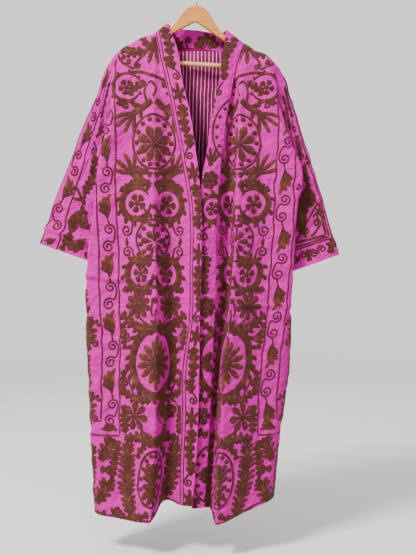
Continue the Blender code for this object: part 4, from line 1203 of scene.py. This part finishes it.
def band_flowers():
    return (
        leaf(30+262j, 24+150j, 16, 0.1, 17) + scroll(30+264j, 38+292j, 9, 1) + leaf(44+200j, 52+150j, 9)
        + ring(-22+384j, 56, 80, 3.2) + dots(-22+384j, 45, 68, 16, 5.2) + leaf(48+350j, 52+300j, 8)
        + hand(27+484j, 26+466j, 34, 270, 110, 4, 6) + rosette(27+520j, 27, 7, 7.4)
        + ring(14+594j, 31, 33, 7, lobes=12) + rosette(14+594j, 19, 5, 6.4)
        + scroll(16+636j, 32+662j, 12, 1) + scroll(20+706j, 32+696j, 10, -1)
        + leaf(28+812j, 24+716j, 15, 0.1, 16) + rosette(25+842j, 29, 8, 7) + leaf(4+900j, 40+876j, 9)
        + ring(-16+982j, 54, 76, 9, lobes=20) + fan(982j, 33, 0, 150, 7, 5.6)
        + leaf(10+1080j, 42+1064j, 10) + rosette(24+1118j, 26, 6, 8) + leaf(4+1168j, 42+1152j, 11)
        + ring(-10+1264j, 46, 72, 3.4) + dots(-10+1264j, 36, 62, 14, 5.8) + fan(-6+1266j, 30, 0, 150, 6, 6)
        + leaf(34+1356j, 20+1326j, 10)
    )


for name, band, drawing, seed in (
    ("wool_band_left", band_left, band_vine(122, 1360), 41),
    ("wool_band_right", band_right, band_flowers(), 43),
):
    stitch(name, drawing, Chart(band), seed)

# Behind the neck the collar shows its inner face, with half flowers and leaves on it. The
# same drawing is on its outer face.
drawn_collar = (
    fan(24+168j, 46, 270, 124, 5, 7.4) + leaf(-58+168j, -80+124j, 10, 0.1)
    + leaf(-40+170j, -60+140j, 9, 0.1) + fan(92+166j, 40, 250, 100, 4, 6.4)
    + scroll(-20+172j, -24+142j, 9, 1) + leaf(-104+160j, -112+112j, 9, 0.05)
)
stitch("wool_collar_inside", drawn_collar, Chart(collar, side=-1), 51)
stitch("wool_collar_outside", drawn_collar, Chart(collar), 53)


# The sleeves: a scroll border runs down the fold, with leaves and flowers beside it, and a
# second border turns along the cuff.
def sleeve_chart(sleeve):
    """A sleeve's flat cloth: across is counted from its top fold, plus on the front half."""
    around = sleeve.across
    behind = np.arange(ARMHOLE_FOOT, 2 * ARMHOLE_FOOT)
    before = np.arange(0, ARMHOLE_FOOT + 1)
    away = np.concatenate([around[:, behind] - around[:, -1:], around[:, before]], axis=1)
    return Chart(sleeve, np.concatenate([behind, before]), away)


def sleeve_bordered(cuff):
    """Half the left sleeve: the scroll border by its fold, then leaves down to a palmette."""
    low = cuff * 1j
    return (
        scroll_border(25, 21, 24, 3) + bud(8 + low - 12j, 40 + low - 22j, 16)
        + stem(3+10j, 3+200j, 3 + low, half=2.1) + stem(48+30j, 48+200j, 48 + low, half=2.1)
        + leaf(64+150j, 72+60j, 13, 0.1) + hand(66+200j, 84+178j, 36, -60, 110, 4, 5)
        + scroll(62+214j, 76+236j, 13, 1) + leaf(74+350j, 92+250j, 18, 0.08)
        + hand(84+376j, 74+360j, 34, 220, 120, 3, 5) + hand(84+376j, 88+392j, 36, 96, 90, 3, 5)
        + fan(88 + low - 74j, 40, 240, 170, 6, 8.4) + fan(88 + low - 44j, 36, 90, 190, 6, 7.6)
        + leaf(118+300j, 112+190j, 15, 0.1) + rosette(140+340j, 26, 6, 9) + leaf(128+440j, 136+376j, 14)
        + leaf(166+300j, 150+210j, 14) + leaf(170 + low - 30j, 166+390j, 18, 0.05)
        + leaf(128 + low - 10j, 150 + low - 60j, 12) + leaf(60 + low - 6j, 66 + low - 44j, 9)
    )


def sleeve_cornered(cuff):
    """Half the right sleeve: plain lines by its fold, a cornered field and a cuff border."""
    low = cuff * 1j
    strokes = (
        stem(5+10j, 5+200j, 5 + low - 46j, half=1.9) + stem(13+20j, 13+200j, 13 + low - 52j, half=1.9)
        + stem(5 + low - 46j, 90 + low - 46j, 200 + low - 46j, half=1.9)
        + stem(13 + low - 52j, 90 + low - 52j, 200 + low - 52j, half=1.9)
        + leaf(34+130j, 30+50j, 12, 0.05) + scroll(34+132j, 40+158j, 11, 1)
        + leaf(38+230j, 34+180j, 12) + fan(30+244j, 22, 200, 240, 5, 5)
        + rosette(48+340j, 27, 8, 7.4) + leaf(40+318j, 36+262j, 12)
        + hand(34+376j, 28+384j, 26, 100, 150, 4, 4) + stem(20 + low - 144j, 20 + low - 60j, half=3.2)
        + stem(20 + low - 58j, 64 + low - 60j, 112 + low - 64j, half=3.2)
        + stem(22 + low - 146j, 66 + low - 108j, 112 + low - 66j, half=3.2)
        + scroll(64 + low - 66j, 38 + low - 96j, 12, 1) + scroll(74 + low - 66j, 74 + low - 82j, 10, -1)
        + leaf(122 + low - 92j, 58 + low - 150j, 13, -0.05) + leaf(90+310j, 78+210j, 17, 0.08)
        + leaf(88+424j, 84+330j, 20) + leaf(122+400j, 116+260j, 22, 0.05) + leaf(160+420j, 156+300j, 16)
        + leaf(150 + low - 60j, 140 + low - 120j, 16) + leaf(176 + low - 60j, 184 + low - 130j, 16)
        + leaf(108+200j, 104+110j, 14) + leaf(66+160j, 64+70j, 13)
        + leaf(26 + low - 8j, 2 + low - 40j, 12, 0.1)
    )
    for place in (44, 96, 150):
        strokes += twin_scroll(place + low - 26j, place + 26 + low - 22j, 11, 2.2)
        strokes += leaf(place + 42 + low - 6j, place + 36 + low - 36j, 7)
    return strokes


for name, sleeve, drawing, seed, plump in (
    ("wool_sleeve_left", sleeve_left, sleeve_bordered, 61, 1.1),
    ("wool_sleeve_right", sleeve_right, sleeve_cornered, 67, 1.2),
):
    half = drawing(sleeve.down[-1, 0])
    stitch(name, half + moved(half, 0, -1), sleeve_chart(sleeve), seed, plump)
